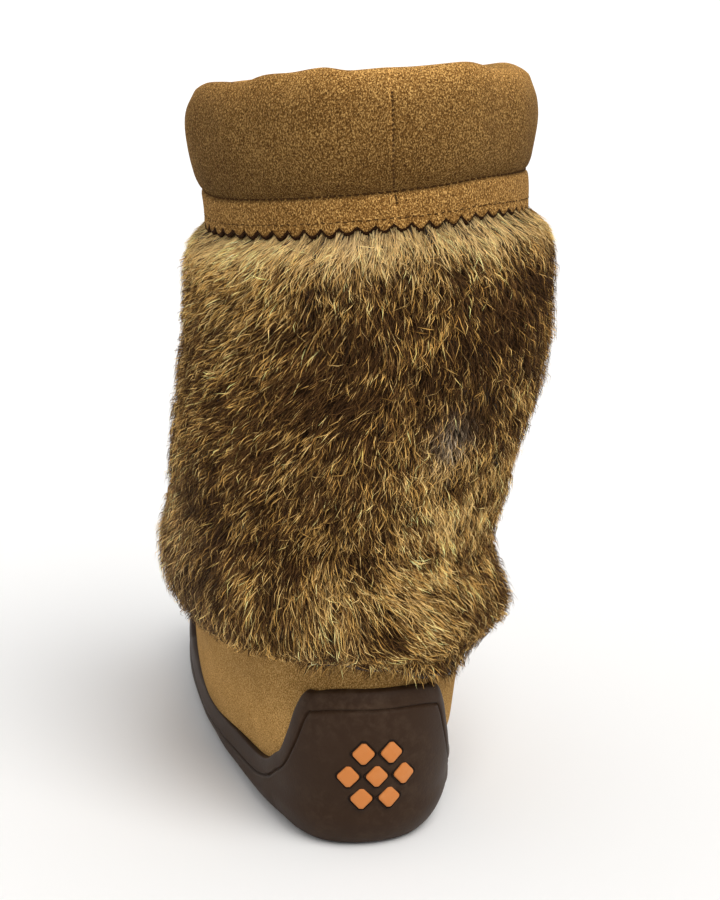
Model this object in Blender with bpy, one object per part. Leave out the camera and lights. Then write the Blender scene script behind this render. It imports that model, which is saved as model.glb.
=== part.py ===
"""Mukluk boot, right foot: rubber cup sole, suede upper, fur shaft and turned suede cuff.

Metres. +Z is up, +Y points to the toe, +X to the outer side of the foot. The origin is
on the ground under the middle of the heel. The upper is one surface of columns and rows:
a column starts at a point of the feather line, where upper and sole meet, crosses the
foot and climbs the shaft. Every other piece is set off from that surface.
"""

import math

import bmesh
import bpy
import numpy as np

# Driving sizes of the foot
foot_length = 0.260
ball_width = 0.093
heel_seat = 0.035
instep_height = 0.094
ankle_height = 0.085
upper_bulge = 0.0025
toe_drift = 0.002

# Driving sizes of the shaft
upper_height = 0.305
ankle_dip = 0.0075
shaft_depth = 0.130
shaft_width = 0.122
shaft_lean = 0.008

# Walls, gaps and layers
upper_wall = 0.0025
seat_gap = 0.0003
fur_skin = 0.0018
insole_thickness = 0.004
insole_bevel = 0.0015

# Sole
heel_floor = 0.019
sole_wall = 0.005
rim_wall = 0.0028
counter_height = 0.069
toe_guard_height = 0.036
rim_band = 0.0068
rim_groove_width = 0.0014
rim_groove_depth = 0.0012
rim_bevel_height = 0.0016
rim_bevel_depth = 0.0014
band_inset = 0.0004
rim_cap = 0.0001
least_panel = 0.006
least_band = 0.0008
tread_depth = 0.0025
tread_width = 0.0038
tread_pitch = 0.0135
tread_border = 0.011
chevron_rise = 0.010
cutter_overlap = 0.002

# Fur and cuff
fur_depth = 0.016
lock_drop = 0.009
fur_under_cuff = 0.006
cuff_hem_wall = 0.0020
cuff_belly = 0.0085
cuff_wall = 0.0030
cuff_roll = 0.0050
cuff_roll_out = 0.0015
cuff_waist = 0.0004
pink_depth = 0.0030

# Heel inlays
lozenge_width = 0.0098
lozenge_height = 0.0106
lozenge_pitch = 0.0114
lozenge_proud = 0.0008
lozenge_sunk = 0.0014
lozenge_centre_height = 0.034
lozenge_clearance = 0.00045
pocket_reach = 0.020

# Apron seam
seam_width = 0.0032
seam_height = 0.0016

stations = 60
locks_round = 30
lock_rows = 7
seed = 7

COLOURS = {
    "outsole": ((0.045, 0.030, 0.022), 0.62),
    "insole": ((0.36, 0.27, 0.17), 0.95),
    "upper": ((0.34, 0.20, 0.085), 0.92),
    "apron_seam": ((0.30, 0.17, 0.07), 0.92),
    "fur_sleeve": ((0.23, 0.16, 0.085), 0.98),
    "cuff": ((0.34, 0.20, 0.085), 0.92),
    "heel_lozenge": ((0.62, 0.24, 0.07), 0.55),
}

# The feather line. along: share of foot_length from the heel; inner and outer: half
# widths as shares of half ball_width, measured from the drifting centre line.
FEATHER = {
    "along": (0.008, 0.034, 0.09, 0.15, 0.22, 0.34, 0.45, 0.56, 0.67, 0.77, 0.86, 0.93, 0.98),
    "inner": (0.26, 0.47, 0.62, 0.70, 0.755, 0.83, 0.875, 0.89, 0.885, 0.845, 0.755, 0.60, 0.345),
    "outer": (0.26, 0.49, 0.69, 0.80, 0.855, 0.90, 0.94, 0.98, 1.01, 0.99, 0.885, 0.695, 0.38),
}
HEEL_ROUND = 1.46
TOE_ROUND = 1.31

# The sole in side view, as shares of heel_floor against the share of foot_length.
SOLE_SIDE = {
    "along": (0.0, 0.25, 0.35, 0.43, 0.52, 0.65, 0.72, 0.80, 0.90, 1.0),
    "floor": (1.0, 0.97, 0.90, 0.80, 0.70, 0.58, 0.58, 0.66, 0.88, 1.18),
    "ground": (0.0, 0.0, 0.0, 0.07, 0.0, 0.0, 0.0, 0.06, 0.26, 0.56),
}

# The rim of the cup: share of counter_height behind the notch, then plain heights in
# shares of heel_floor along the side, up to the toe guard.
RIM_HEEL = {
    "along": (0.0, 0.02, 0.04, 0.055, 0.066, 0.075, 0.09, 0.12, 0.17),
    "height": (1.0, 0.99, 0.96, 0.93, 0.80, 0.64, 0.48, 0.41, 0.375),
}
RIM_SIDE = {
    "along": (0.17, 0.21, 0.335, 0.46, 0.66, 0.78),
    "height": (1.362, 1.25, 1.02, 0.93, 0.90, 0.98),
}
RIM_TOE = {"along": (0.78, 0.90, 0.96, 1.0), "height": (0.52, 0.80, 0.97, 1.0)}

# The side of the cup below its band. rise: share of the heel floor's height above the
# ground; out: share of the wall outside the upper.
SIDE_LEVELS = {"rise": (0.0, 0.14, 0.42, 0.78), "out": (-0.6, 0.12, 0.70, 1.0)}

# Where the tread has grooves, as shares of foot_length.
TREAD_ZONES = ((0.08, 0.29), (0.55, 0.91))

# The heel inlays: how many in each row, the row pitch as a share of lozenge_pitch, and
# the size of an inlay's face as a share of its foot.
LOZENGE_COUNTS = (2, 3, 2)
LOZENGE_ROW_PITCH = 0.87
LOZENGE_FACE = 0.86

# Rows of the foot, from the feather line to the ankle seam. back and front give how far
# a row has gone from feather line to ankle seam at the heel and at the toe; rise is the
# same for height; bulge is the share of upper_bulge that it stands outside the line.
FOOT_ROWS = {
    "back": (0.0, 0.10, 0.22, 0.35, 0.48, 0.64, 0.83, 1.0),
    "front": (0.0, -0.022, 0.0, 0.078, 0.243, 0.476, 0.738, 1.0),
    "back_rise": (0.0, 0.15, 0.30, 0.45, 0.585, 0.717, 0.85, 1.0),
    "front_rise": (0.0, 0.127, 0.268, 0.387, 0.486, 0.62, 0.789, 1.0),
    "bulge": (0.0, 0.6, 0.95, 1.0, 0.9, 0.65, 0.3, 0.0),
}

# Rings of the shaft, from the ankle seam to the top edge. back and front: distance from
# the heel in shares of shaft_depth; width: share of half shaft_width; heights above the
# ankle seam as shares of what is left up to upper_height; lean: share of shaft_lean;
# skew: rise for each unit of width towards the outer side.
SHAFT_RINGS = {
    "back": (0.008, -0.008, 0.0, -0.012, -0.019, -0.012, -0.019, -0.027, -0.004),
    "front": (1.208, 1.108, 1.038, 1.0, 0.992, 0.985, 0.992, 1.0, 0.977),
    "width": (0.828, 0.918, 0.918, 0.959, 0.984, 0.992, 1.0, 1.025, 0.992),
    "back_height": (0.0, 0.073, 0.15, 0.332, 0.545, 0.773, 0.841, 0.936, 1.0),
    "front_height": (0.0, 0.114, 0.242, 0.408, 0.564, 0.754, 0.834, 0.919, 0.967),
    "dip": (1.0, 0.45, 0.0, 0.0, 0.0, 0.0, 0.0, 0.0, 0.0),
    "lean": (0.12, -0.5, -0.56, 0.375, 1.0, 0.875, 0.63, 0.375, 0.375),
    "skew": (-0.060, -0.030, 0.0, 0.0075, 0.02625, 0.05625, 0.06375, 0.07125, 0.075),
}
ANKLE_ROW = len(FOOT_ROWS["back"]) - 1
TOP_ROW = ANKLE_ROW + len(SHAFT_RINGS["back"]) - 1
HEM_ROW = TOP_ROW - 3

# Rows that the inside of the upper leaves out, where the outside needs them and it doesn't.
INNER_SKIPS = (1, 2, 5, HEM_ROW + 1)

# The apron seam. from: share of foot_length where its ends lie; row: at the toe; climb:
# rows that it gains up to its ends; power: how late it climbs; top: share of the seam's
# width that each flank takes.
APRON = {"from": 0.60, "row": 3.35, "climb": 3.1, "power": 1.3, "flank": 0.2}

# Depth of the fur from the ankle seam, 0, to the cuff, 1, as a share of fur_depth.
FUR_DEPTH = {
    "share": (0.0, 0.1, 0.2, 0.38, 0.55, 0.75, 0.9, 1.0),
    "depth": (1.2, 1.2, 1.1, 0.88, 1.0, 1.05, 1.0, 0.9),
}

# A lock of fur. hollow and hollow_drop: depth and drop between two locks as shares of a
# lock's own; tuck: share of a ring's height where it slips under the next ring up;
# tucked: least and most depth there; drop: least and most share of lock_drop.
LOCK = {"hollow": 0.80, "hollow_drop": 0.25, "tuck": 0.80, "tucked": (0.66, 0.74), "drop": (0.7, 1.15)}

# The fur's end under the cuff: rows below the hem row, and shares of fur_depth.
FUR_END = {"row": (-0.26, -0.14), "depth": (0.93, 0.66)}
FUR_END_SKIN_ROW = -0.08

# Outside of the cuff, from hem to top roll. row: from the hem row up; out: share of
# cuff_belly between the hem wall and the belly.
CUFF_OUTSIDE = {
    "row": (0.42, 0.78, 1.2, 1.75, 2.3, 2.75, 3.0),
    "out": (0.10, 0.0, 0.62, 1.0, 1.0, 0.82, 0.60),
}

# Inside of the cuff: the row where its lining ends, the row where it stands off the fur,
# and shares of cuff_wall and cuff_roll where the roll turns in and the lining thins out.
CUFF_INSIDE = {"end_row": 1.8, "step_row": 0.5, "turn": 0.3, "turn_rise": 0.9, "thin": 0.6}


def smooth(x, xs, ys):
    """Cubic through the points (xs, ys), with each slope the mean of its neighbours'."""
    xs, ys, x = (np.asarray(a, float) for a in (xs, ys, x))
    chord = np.diff(ys) / np.diff(xs)
    slope = np.concatenate([chord[:1], (chord[:-1] + chord[1:]) / 2, chord[-1:]])
    slope[1:-1] = np.where(chord[:-1] * chord[1:] <= 0, 0.0, slope[1:-1])
    i = np.clip(np.searchsorted(xs, x, side="right") - 1, 0, len(xs) - 2)
    h = xs[i + 1] - xs[i]
    t = np.clip((x - xs[i]) / h, 0.0, 1.0)
    return (
        ys[i] * (1 + 2 * t) * (1 - t) ** 2
        + ys[i + 1] * t * t * (3 - 2 * t)
        + h * slope[i] * t * (1 - t) ** 2
        + h * slope[i + 1] * t * t * (t - 1)
    )


def ease(t):
    t = np.clip(t, 0.0, 1.0)
    return t * t * (3 - 2 * t)


def ellipse(along):
    return 2 * np.sqrt(np.clip(along * (1 - along), 0.0, None))


def feather_half_width(along, side):
    """Half width at a share of the length: a unit ellipse times a smooth roundness."""
    stations_at = np.array(FEATHER["along"])
    roundness = np.array(FEATHER[side]) / ellipse(stations_at)
    xs = np.concatenate([[0.0], stations_at, [1.0]])
    ys = np.concatenate([[HEEL_ROUND], roundness, [TOE_ROUND]])
    return ball_width / 2 * ellipse(along) * smooth(along, xs, ys)


def floor_height(along):
    return heel_floor * smooth(along, SOLE_SIDE["along"], SOLE_SIDE["floor"])


def ground_height(along):
    return heel_floor * smooth(along, SOLE_SIDE["along"], SOLE_SIDE["ground"])


def rim_height(along):
    """Top edge of the cup: heel counter, side band, toe guard."""
    heel = counter_height * smooth(along, RIM_HEEL["along"], RIM_HEEL["height"])
    side = heel_floor * smooth(along, RIM_SIDE["along"], RIM_SIDE["height"])
    toe = toe_guard_height * smooth(along, RIM_TOE["along"], RIM_TOE["height"])
    joined = np.where(along < RIM_SIDE["along"][0], heel, side)
    return np.where(along > RIM_TOE["along"][0], toe, joined)


def station_angles():
    return 2 * math.pi * np.arange(stations) / stations


def centre_drift(along):
    """How far the sole's centre line has drifted towards the big toe."""
    return -toe_drift * ease((along - 0.5) / 0.45)


def feather_line(angle):
    """Points of the upper's bottom edge, x positive on the outer side."""
    along = (1 - np.cos(angle)) / 2
    outer = np.sin(angle) >= 0
    half = np.where(outer, feather_half_width(along, "outer"), -feather_half_width(along, "inner"))
    y = along * foot_length - heel_seat
    return np.stack([half + centre_drift(along), y, floor_height(along) + seat_gap], axis=-1)


def shaft_ring(angle, index):
    """One ring of the shaft: an ellipse tipped to the front and skewed to the outer side."""
    table = {name: column[index] for name, column in SHAFT_RINGS.items()}
    along = (1 - np.cos(angle)) / 2
    back = table["back"] * shaft_depth
    front = table["front"] * shaft_depth
    x = shaft_width / 2 * table["width"] * np.sin(angle)
    back_z = ankle_height + table["back_height"] * (upper_height - ankle_height)
    front_z = instep_height + table["front_height"] * (upper_height - instep_height)
    z = back_z + (front_z - back_z) * along + table["skew"] * x
    z -= ankle_dip * table["dip"] * ellipse(along) ** 2
    y = back + (front - back) * along - heel_seat
    return np.stack([x + shaft_lean * table["lean"], y, z], axis=-1)


def foot_row(angle, index):
    """One row of the foot, between the feather line and the ankle seam."""
    table = {name: column[index] for name, column in FOOT_ROWS.items()}
    along = (1 - np.cos(angle)) / 2
    toward_toe = ease((along - 0.30) / 0.60)
    travel = table["back"] + (table["front"] - table["back"]) * toward_toe
    rise = table["back_rise"] + (table["front_rise"] - table["back_rise"]) * toward_toe
    low = feather_line(angle)
    high = shaft_ring(angle, 0)
    outward = np.roll(low, -1, axis=0) - np.roll(low, 1, axis=0)
    outward = np.stack([outward[:, 1], -outward[:, 0]], axis=-1)
    outward /= np.linalg.norm(outward, axis=1, keepdims=True)
    points = low.copy()
    points[:, :2] += (high - low)[:, :2] * travel[:, None] + outward * upper_bulge * table["bulge"]
    points[:, 2] += (high - low)[:, 2] * rise
    return points


def upper_rows():
    angle = station_angles()
    rows = [foot_row(angle, i) for i in range(ANKLE_ROW)]
    rows += [shaft_ring(angle, i) for i in range(TOP_ROW - ANKLE_ROW + 1)]
    return np.array(rows)


def outward_normals(rows):
    """Unit normals of the grid: along a row crossed with up a column."""
    round_row = np.roll(rows, -1, axis=1) - np.roll(rows, 1, axis=1)
    up_column = np.gradient(rows, axis=0)
    normal = np.cross(round_row, up_column)
    return normal / np.linalg.norm(normal, axis=2, keepdims=True)


ROWS = upper_rows()
NORMALS = outward_normals(ROWS)
ALONG = (1 - np.cos(station_angles())) / 2


def on_facets(row):
    """Points and normals of the upper's facets; the row may differ between stations."""
    row = np.broadcast_to(np.asarray(row, float), (stations,))
    low = np.clip(row.astype(int), 0, TOP_ROW - 1)
    share = (row - low)[:, None]
    j = np.arange(stations)
    base = ROWS[low, j] * (1 - share) + ROWS[low + 1, j] * share
    normal = NORMALS[low, j] * (1 - share) + NORMALS[low + 1, j] * share
    return base, normal / np.linalg.norm(normal, axis=1, keepdims=True)


def at_row(row, out, up=0.0):
    """Ring of points at a row, set off along the normals."""
    base, normal = on_facets(row)
    ring = base + normal * np.reshape(out, (-1, 1))
    ring[:, 2] += up
    return ring


def row_at_height(height):
    count = np.arange(TOP_ROW + 1)
    return np.array([np.interp(height[j], ROWS[:, j, 2], count) for j in range(stations)])


def row_below(row, distance):
    """The row that lies a distance below another, measured down each column."""
    steps = np.linalg.norm(np.diff(ROWS, axis=0), axis=2)
    length = np.concatenate([np.zeros((1, stations)), np.cumsum(steps, axis=0)])
    count = np.arange(TOP_ROW + 1)
    row, distance = np.broadcast_to(row, (stations,)), np.broadcast_to(distance, (stations,))
    return np.array([
        np.interp(np.interp(row[j], count, length[:, j]) - distance[j], length[:, j], count)
        for j in range(stations)
    ])


def at_height(height, out):
    """Ring of points at a height for each station, set off level outwards."""
    height = np.broadcast_to(height, (stations,))
    base, normal = on_facets(row_at_height(height))
    level = normal[:, :2] / np.linalg.norm(normal[:, :2], axis=1, keepdims=True)
    return np.column_stack([base[:, :2] + level * np.reshape(out, (-1, 1)), height])


def link(name, mesh, key=None):
    """Adds the mesh to the scene as a named object with its material."""
    thing = bpy.data.objects.new(name, mesh)
    bpy.context.scene.collection.objects.link(thing)
    if key:
        colour, roughness = COLOURS[key]
        material = bpy.data.materials.new(name)
        material.use_nodes = True
        shader = material.node_tree.nodes["Principled BSDF"]
        shader.inputs["Base Color"].default_value = (*colour, 1.0)
        shader.inputs["Roughness"].default_value = roughness
        shader.inputs["Metallic"].default_value = 0.0
        mesh.materials.append(material)
    return thing


def hide_helper(thing):
    thing.hide_render = True
    thing.display_type = "WIRE"
    return thing


def mean_height(ring):
    return sum(vertex.co.z for vertex in ring) / len(ring)


def add_band(solid, low, high):
    """Faces between two rings, which may have the same number of vertices or one to two.

    Equal rings are split from the lower vertex to the next upper one, whichever way the
    band runs, so that both sides of a wall and the pieces facing it share their facets.
    """
    n, m = len(low), len(high)
    falling = mean_height(low) > mean_height(high)
    for j in range(min(n, m)):
        after = (j + 1) % min(n, m)
        if n == m and falling:
            solid.faces.new((low[j], low[after], high[j]))
            solid.faces.new((low[after], high[after], high[j]))
        elif n == m:
            solid.faces.new((low[j], low[after], high[after]))
            solid.faces.new((low[j], high[after], high[j]))
        elif m == 2 * n:
            a, b = low[j], low[after]
            c, d, e = high[2 * j], high[2 * j + 1], high[2 * after]
            for corners in ((a, d, c), (a, b, d), (b, e, d)):
                solid.faces.new(corners)
        else:
            a, b, c = low[2 * j], low[2 * j + 1], low[2 * after]
            d, e = high[j], high[after]
            for corners in ((a, b, d), (b, e, d), (b, c, e)):
                solid.faces.new(corners)


def add_ladder(solid, ring, facing_up):
    """Closes a ring with rungs from its inner side to its outer side."""
    n = len(ring)
    for j in range(n // 2):
        corners = [ring[j], ring[j + 1], ring[(n - j - 1) % n], ring[(n - j) % n]]
        corners = list(dict.fromkeys(corners))
        solid.faces.new(corners if facing_up else corners[::-1])


def finish_mesh(name, solid, key):
    bmesh.ops.recalc_face_normals(solid, faces=solid.faces)
    mesh = bpy.data.meshes.new(name)
    solid.to_mesh(mesh)
    solid.free()
    mesh.shade_smooth()
    mesh.set_sharp_from_angle(angle=math.radians(40))
    return link(name, mesh, key)


def ring_solid(name, rings, key):
    """A closed hollow piece: its rings run up the outside and down the inside."""
    solid = bmesh.new()
    made = [[solid.verts.new(point) for point in ring] for ring in rings]
    for low, high in zip(made, made[1:] + made[:1]):
        add_band(solid, low, high)
    return finish_mesh(name, solid, key)


def capped_solid(name, rings, key=None):
    """A filled piece: its rings run upwards, with a ladder of faces at each end."""
    solid = bmesh.new()
    made = [[solid.verts.new(point) for point in ring] for ring in rings]
    for low, high in zip(made, made[1:]):
        add_band(solid, low, high)
    add_ladder(solid, made[0], facing_up=False)
    add_ladder(solid, made[-1], facing_up=True)
    return finish_mesh(name, solid, key)


def prism(name, outline, start, direction, length, key=None, shrink=1.0):
    """An outline of points carried along a direction, its far end scaled by shrink."""
    solid = bmesh.new()
    near = np.asarray(outline, float) + np.asarray(start, float)
    middle = near.mean(axis=0)
    far = middle + (near - middle) * shrink + np.asarray(direction, float) * length
    a = [solid.verts.new(point) for point in near]
    b = [solid.verts.new(point) for point in far]
    add_band(solid, a, b)
    solid.faces.new(a[::-1])
    solid.faces.new(b)
    return finish_mesh(name, solid, key)


def cut(target, cutter):
    modifier = target.modifiers.new(cutter.name, "BOOLEAN")
    modifier.operation = "DIFFERENCE"
    modifier.solver = "EXACT"
    modifier.object = hide_helper(cutter)


def make_upper():
    """Suede foot and shaft lining: the surface itself, and its copy one wall inside."""
    outside = [at_row(i, np.zeros(stations)) for i in range(TOP_ROW + 1)]
    inside = [at_row(i, -upper_wall) for i in range(TOP_ROW, -1, -1) if i not in INNER_SKIPS]
    return ring_solid("upper", outside + inside, "upper")


def make_insole():
    """Footbed on the floor of the cup, as wide as the inside of the upper."""
    bottom = at_row(0, -upper_wall - seat_gap)
    bottom[:, 2] = floor_height(ALONG) + seat_gap
    top = at_row(0, -upper_wall - seat_gap - insole_bevel)
    top[:, 2] = floor_height(ALONG) + seat_gap + insole_thickness
    return capped_solid("insole", [bottom, top], "insole")


def worn_down(line, reach):
    """The line kept a constant distance below the rim, measured square to the rim."""
    round_sole = ROWS[1]
    steps = np.linalg.norm(np.roll(round_sole, -1, axis=0) - round_sole, axis=1)
    place = np.concatenate([[0.0], np.cumsum(steps)])
    fine = np.linspace(-reach, reach, 25)
    lowered = np.empty(stations)
    for j in range(stations):
        where = (place[j] + fine) % place[-1]
        heights = np.interp(where, place, np.append(line, line[0]))
        lowered[j] = (heights - np.sqrt(reach**2 - fine**2)).min()
    return lowered


def make_outsole():
    """Cup sole: a block with the outline of tread, side, band and rim, hollowed by the
    form of the foot, then grooved underneath and pocketed at the heel."""
    ground = ground_height(ALONG)
    rim = rim_height(ALONG)
    band = worn_down(rim, rim_band)
    groove = worn_down(rim, rim_band + rim_groove_width)
    panel = worn_down(rim, rim_band + 2 * rim_groove_width)
    panel = np.maximum(panel, ground + least_panel)
    groove = np.maximum(groove, panel + least_band)
    band = np.maximum(band, groove + least_band)
    wall = seat_gap + sole_wall
    side = np.minimum(panel - ground, heel_floor)
    levels = [(ground + rise * side, out * wall) for rise, out in zip(*SIDE_LEVELS.values())]
    levels += [
        (panel, wall),
        (groove, wall - rim_groove_depth),
        (band, wall - band_inset),
        (rim - rim_bevel_height, seat_gap + rim_wall + rim_bevel_depth / 2),
        (rim, seat_gap + rim_wall - rim_bevel_depth / 2),
        (rim + rim_cap, -upper_wall / 2),
    ]
    rings = [at_height(height, out) for height, out in levels]
    sole = capped_solid("outsole", rings, "outsole")
    cut(sole, foot_form())
    for cutter in tread_grooves():
        cut(sole, cutter)
    return sole


def foot_form():
    """The room for the foot in the cup: the upper's outside plus the seat gap."""
    rows = range(ANKLE_ROW + 3)
    rings = [at_row(i, seat_gap) for i in rows]
    base = rings[0].copy()
    base[:, 2] = floor_height(ALONG)
    rings[0] = base
    return capped_solid("foot_form", rings)


def tread_grooves():
    """Chevron grooves across heel and forefoot, with a plain border. They lie between
    whole pitches from the heel rest, so that a rib crosses it, and the ball's too."""
    tips = (np.arange(math.ceil(foot_length / tread_pitch)) - 2.5) * tread_pitch
    shares = (tips + heel_seat) / foot_length
    grooved = np.any([(shares > low) & (shares < high) for low, high in TREAD_ZONES], axis=0)
    cutters = []
    for y in tips[grooved] - chevron_rise:
        share = np.array((y + heel_seat) / foot_length)
        left = centre_drift(share) - feather_half_width(share, "inner") + tread_border
        right = centre_drift(share) + feather_half_width(share, "outer") - tread_border
        middle = (left + right) / 2
        low, half = -cutter_overlap, tread_width / 2
        outline = [
            (left, y - half, low),
            (middle, y - half + chevron_rise, low),
            (right, y - half, low),
            (right, y + half, low),
            (middle, y + half + chevron_rise, low),
            (left, y + half, low),
        ]
        height = float(ground_height(share)) + tread_depth - low
        name = f"tread_groove_{len(cutters) + 1}"
        cutters.append(prism(name, outline, (0, 0, 0), (0, 0, 1), height))
    return cutters


def lozenge_places():
    """Rows of inlays, top row first, centred on the heel counter."""
    places = []
    for row, count in enumerate(LOZENGE_COUNTS):
        for k in range(count):
            across = (k - (count - 1) / 2) * lozenge_pitch
            up = ((len(LOZENGE_COUNTS) - 1) / 2 - row) * lozenge_pitch * LOZENGE_ROW_PITCH
            places.append((across, lozenge_centre_height + up))
    return places


def counter_point(across, height):
    """Point on the outside of the heel counter and its outward direction."""
    angle = station_angles()
    ring = at_height(height, seat_gap + sole_wall)
    near = np.cos(angle) > 0.5
    order = np.argsort(ring[near][:, 0])
    xs, ys = ring[near][order, 0], ring[near][order, 1]
    y = np.interp(across, xs, ys)
    step = lozenge_width / 2
    slope = (np.interp(across + step, xs, ys) - np.interp(across - step, xs, ys)) / (2 * step)
    direction = np.array([slope, -1.0, 0.0])
    return np.array([across, y, height]), direction / np.linalg.norm(direction)


def lozenge_outline(sideways, grow):
    """Corners of a lozenge that stands upright, grown by a length on all sides."""
    width, tall = lozenge_width + 2 * grow, lozenge_height + 2 * grow
    level, upright = sideways * width / 2, np.array([0.0, 0.0, tall / 2])
    return [-level, -upright, level, upright]


def make_lozenges(sole):
    """Orange inlays, each a tapered lozenge in its own pocket of the counter."""
    for k, (across, height) in enumerate(lozenge_places(), start=1):
        point, direction = counter_point(across, height)
        sideways = np.array([-direction[1], direction[0], 0.0])
        start = point - direction * lozenge_sunk
        depth = lozenge_sunk + lozenge_proud
        outline = lozenge_outline(sideways, 0.0)
        name = f"heel_lozenge_{k}"
        prism(name, outline, start, direction, depth, "heel_lozenge", shrink=LOZENGE_FACE)
        hole = lozenge_outline(sideways, lozenge_clearance)
        floor = start - direction * seat_gap
        cut(sole, prism(f"lozenge_pocket_{k}", hole, floor, direction, pocket_reach))


def make_apron_seam():
    """Raised seam round the plug of the vamp, from the ankle seam round the toe and back."""
    picked = np.flatnonzero(ALONG > APRON["from"])
    from_toe = np.abs(station_angles() - math.pi)
    aside = from_toe / from_toe[picked[0]]
    middle = APRON["row"] + APRON["climb"] * ease(aside) ** APRON["power"]
    low, high = row_below(middle, seam_width / 2), row_below(middle, -seam_width / 2)
    flank = (high - low) * APRON["flank"]
    rings = [
        at_row(low, seat_gap),
        at_row(low + flank, seat_gap + seam_height),
        at_row(high - flank, seat_gap + seam_height),
        at_row(high, seat_gap),
    ]
    solid = bmesh.new()
    made = [[solid.verts.new(ring[j]) for ring in rings] for j in picked]
    for near, far in zip(made, made[1:]):
        add_band(solid, near, far)
    solid.faces.new(made[0])
    solid.faces.new(made[-1][::-1])
    return finish_mesh("apron_seam", solid, "apron_seam")


def fur_depth_at(share):
    """Depth of the fur at a share of its height."""
    return fur_depth * smooth(share, FUR_DEPTH["share"], FUR_DEPTH["depth"])


def make_fur_sleeve():
    """Fur shaft: skin on the upper, and overlapping rings of pointed locks outside."""
    chance = np.random.default_rng(seed)
    span = HEM_ROW - ANKLE_ROW
    between = np.arange(stations) % (stations // locks_round) > 0
    rings = []
    for k in range(lock_rows):
        share = k / lock_rows
        depth = fur_depth_at(share) * np.where(between, LOCK["hollow"], 1.0)
        drop = lock_drop * chance.uniform(*LOCK["drop"], stations)
        drop *= np.where(between, LOCK["hollow_drop"], 1.0)
        rings.append(at_row(row_below(ANKLE_ROW + span * share, drop), depth))
        if k < lock_rows - 1:
            tuck = share + LOCK["tuck"] / lock_rows
            depth = fur_depth_at(tuck) * chance.uniform(*LOCK["tucked"], stations)
            rings.append(at_row(ANKLE_ROW + span * tuck, depth))
    for row, depth in zip(FUR_END["row"], FUR_END["depth"]):
        rings.append(at_row(HEM_ROW + row, fur_depth * depth))
    rings.append(at_row(HEM_ROW + FUR_END_SKIN_ROW, fur_skin))
    rings.append(at_row(HEM_ROW, fur_skin))
    rings.append(at_row(row_below(HEM_ROW, -fur_under_cuff), fur_skin))
    rings.append(at_row(row_below(HEM_ROW, -fur_under_cuff), seat_gap))
    rings += [at_row(i, seat_gap) for i in range(HEM_ROW, ANKLE_ROW - 1, -1)]
    return ring_solid("fur_sleeve", rings, "fur_sleeve")


def pinked(row, out):
    """Ring with a tooth between each two stations, its points below the line."""
    line = at_row(row, out)
    teeth = (line + np.roll(line, -1, axis=0)) / 2
    teeth[:, 2] -= pink_depth
    ring = np.empty((2 * stations, 3))
    ring[0::2] = line
    ring[1::2] = teeth
    return ring


def make_cuff():
    """Suede cuff: a padded band outside, rolled over the top edge and down the inside."""
    inner_face = fur_skin + seat_gap
    outer_face = inner_face + cuff_hem_wall
    rings = [pinked(HEM_ROW, outer_face)]
    for row, out in zip(CUFF_OUTSIDE["row"], CUFF_OUTSIDE["out"]):
        reach = outer_face - cuff_waist + (cuff_belly - outer_face) * out
        rings.append(at_row(HEM_ROW + row, reach))
    lining = -upper_wall - seat_gap
    turned = lining - CUFF_INSIDE["turn"] * cuff_wall
    rings.append(at_row(TOP_ROW, cuff_roll_out, up=cuff_roll))
    rings.append(at_row(TOP_ROW, turned, up=cuff_roll * CUFF_INSIDE["turn_rise"]))
    rings.append(at_row(TOP_ROW, lining - cuff_wall))
    low_row = HEM_ROW + CUFF_INSIDE["end_row"]
    rings.append(at_row(HEM_ROW + 2, lining - cuff_wall))
    rings.append(at_row(low_row, lining - CUFF_INSIDE["thin"] * cuff_wall))
    rings.append(at_row(low_row, lining))
    rings.append(at_row(HEM_ROW + 2, lining))
    rings.append(at_row(TOP_ROW, lining, up=seat_gap))
    rings.append(at_row(TOP_ROW, seat_gap, up=seat_gap))
    for row in (2, 1):
        rings.append(at_row(HEM_ROW + row, seat_gap))
    rings.append(at_row(HEM_ROW + CUFF_INSIDE["step_row"], inner_face))
    rings.append(pinked(HEM_ROW, inner_face))
    return ring_solid("cuff", rings, "cuff")


def main():
    for thing in list(bpy.data.objects):
        bpy.data.objects.remove(thing)
    make_upper()
    make_insole()
    sole = make_outsole()
    make_lozenges(sole)
    make_apron_seam()
    make_fur_sleeve()
    make_cuff()


main()
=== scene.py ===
"""Mukluk boot, right foot, dressed for the picture.

Metres, in the frame of the solids: +Z up, +Y to the toe, +X to the outer side. The upper
is one surface of rows, from the feather line where it meets the sole up to its top edge,
and of columns round the foot. turn runs round it: 0 at the middle of the heel, 0.25 on
the outer side, 0.5 at the toe and 0.75 on the inner side. Every piece is set off from
that surface along its normals.
"""
import math

import bpy
import numpy as np
from mathutils import Matrix, Vector


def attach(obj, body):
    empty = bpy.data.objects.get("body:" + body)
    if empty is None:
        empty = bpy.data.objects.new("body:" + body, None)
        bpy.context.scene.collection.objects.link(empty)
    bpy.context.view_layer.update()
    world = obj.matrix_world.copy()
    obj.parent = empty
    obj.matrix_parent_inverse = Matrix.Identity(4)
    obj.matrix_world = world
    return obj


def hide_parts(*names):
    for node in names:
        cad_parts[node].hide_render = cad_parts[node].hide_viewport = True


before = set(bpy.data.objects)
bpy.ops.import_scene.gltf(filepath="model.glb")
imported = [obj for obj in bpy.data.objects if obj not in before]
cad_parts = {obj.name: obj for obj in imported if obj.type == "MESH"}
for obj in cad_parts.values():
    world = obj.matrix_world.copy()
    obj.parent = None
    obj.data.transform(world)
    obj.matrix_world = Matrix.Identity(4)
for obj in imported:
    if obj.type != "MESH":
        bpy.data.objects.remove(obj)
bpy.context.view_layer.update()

# Sizes of the foot and the shaft
foot_length = 0.260
ball_width = 0.093
heel_seat = 0.035
instep_height = 0.094
ankle_height = 0.085
upper_bulge = 0.0025
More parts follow.
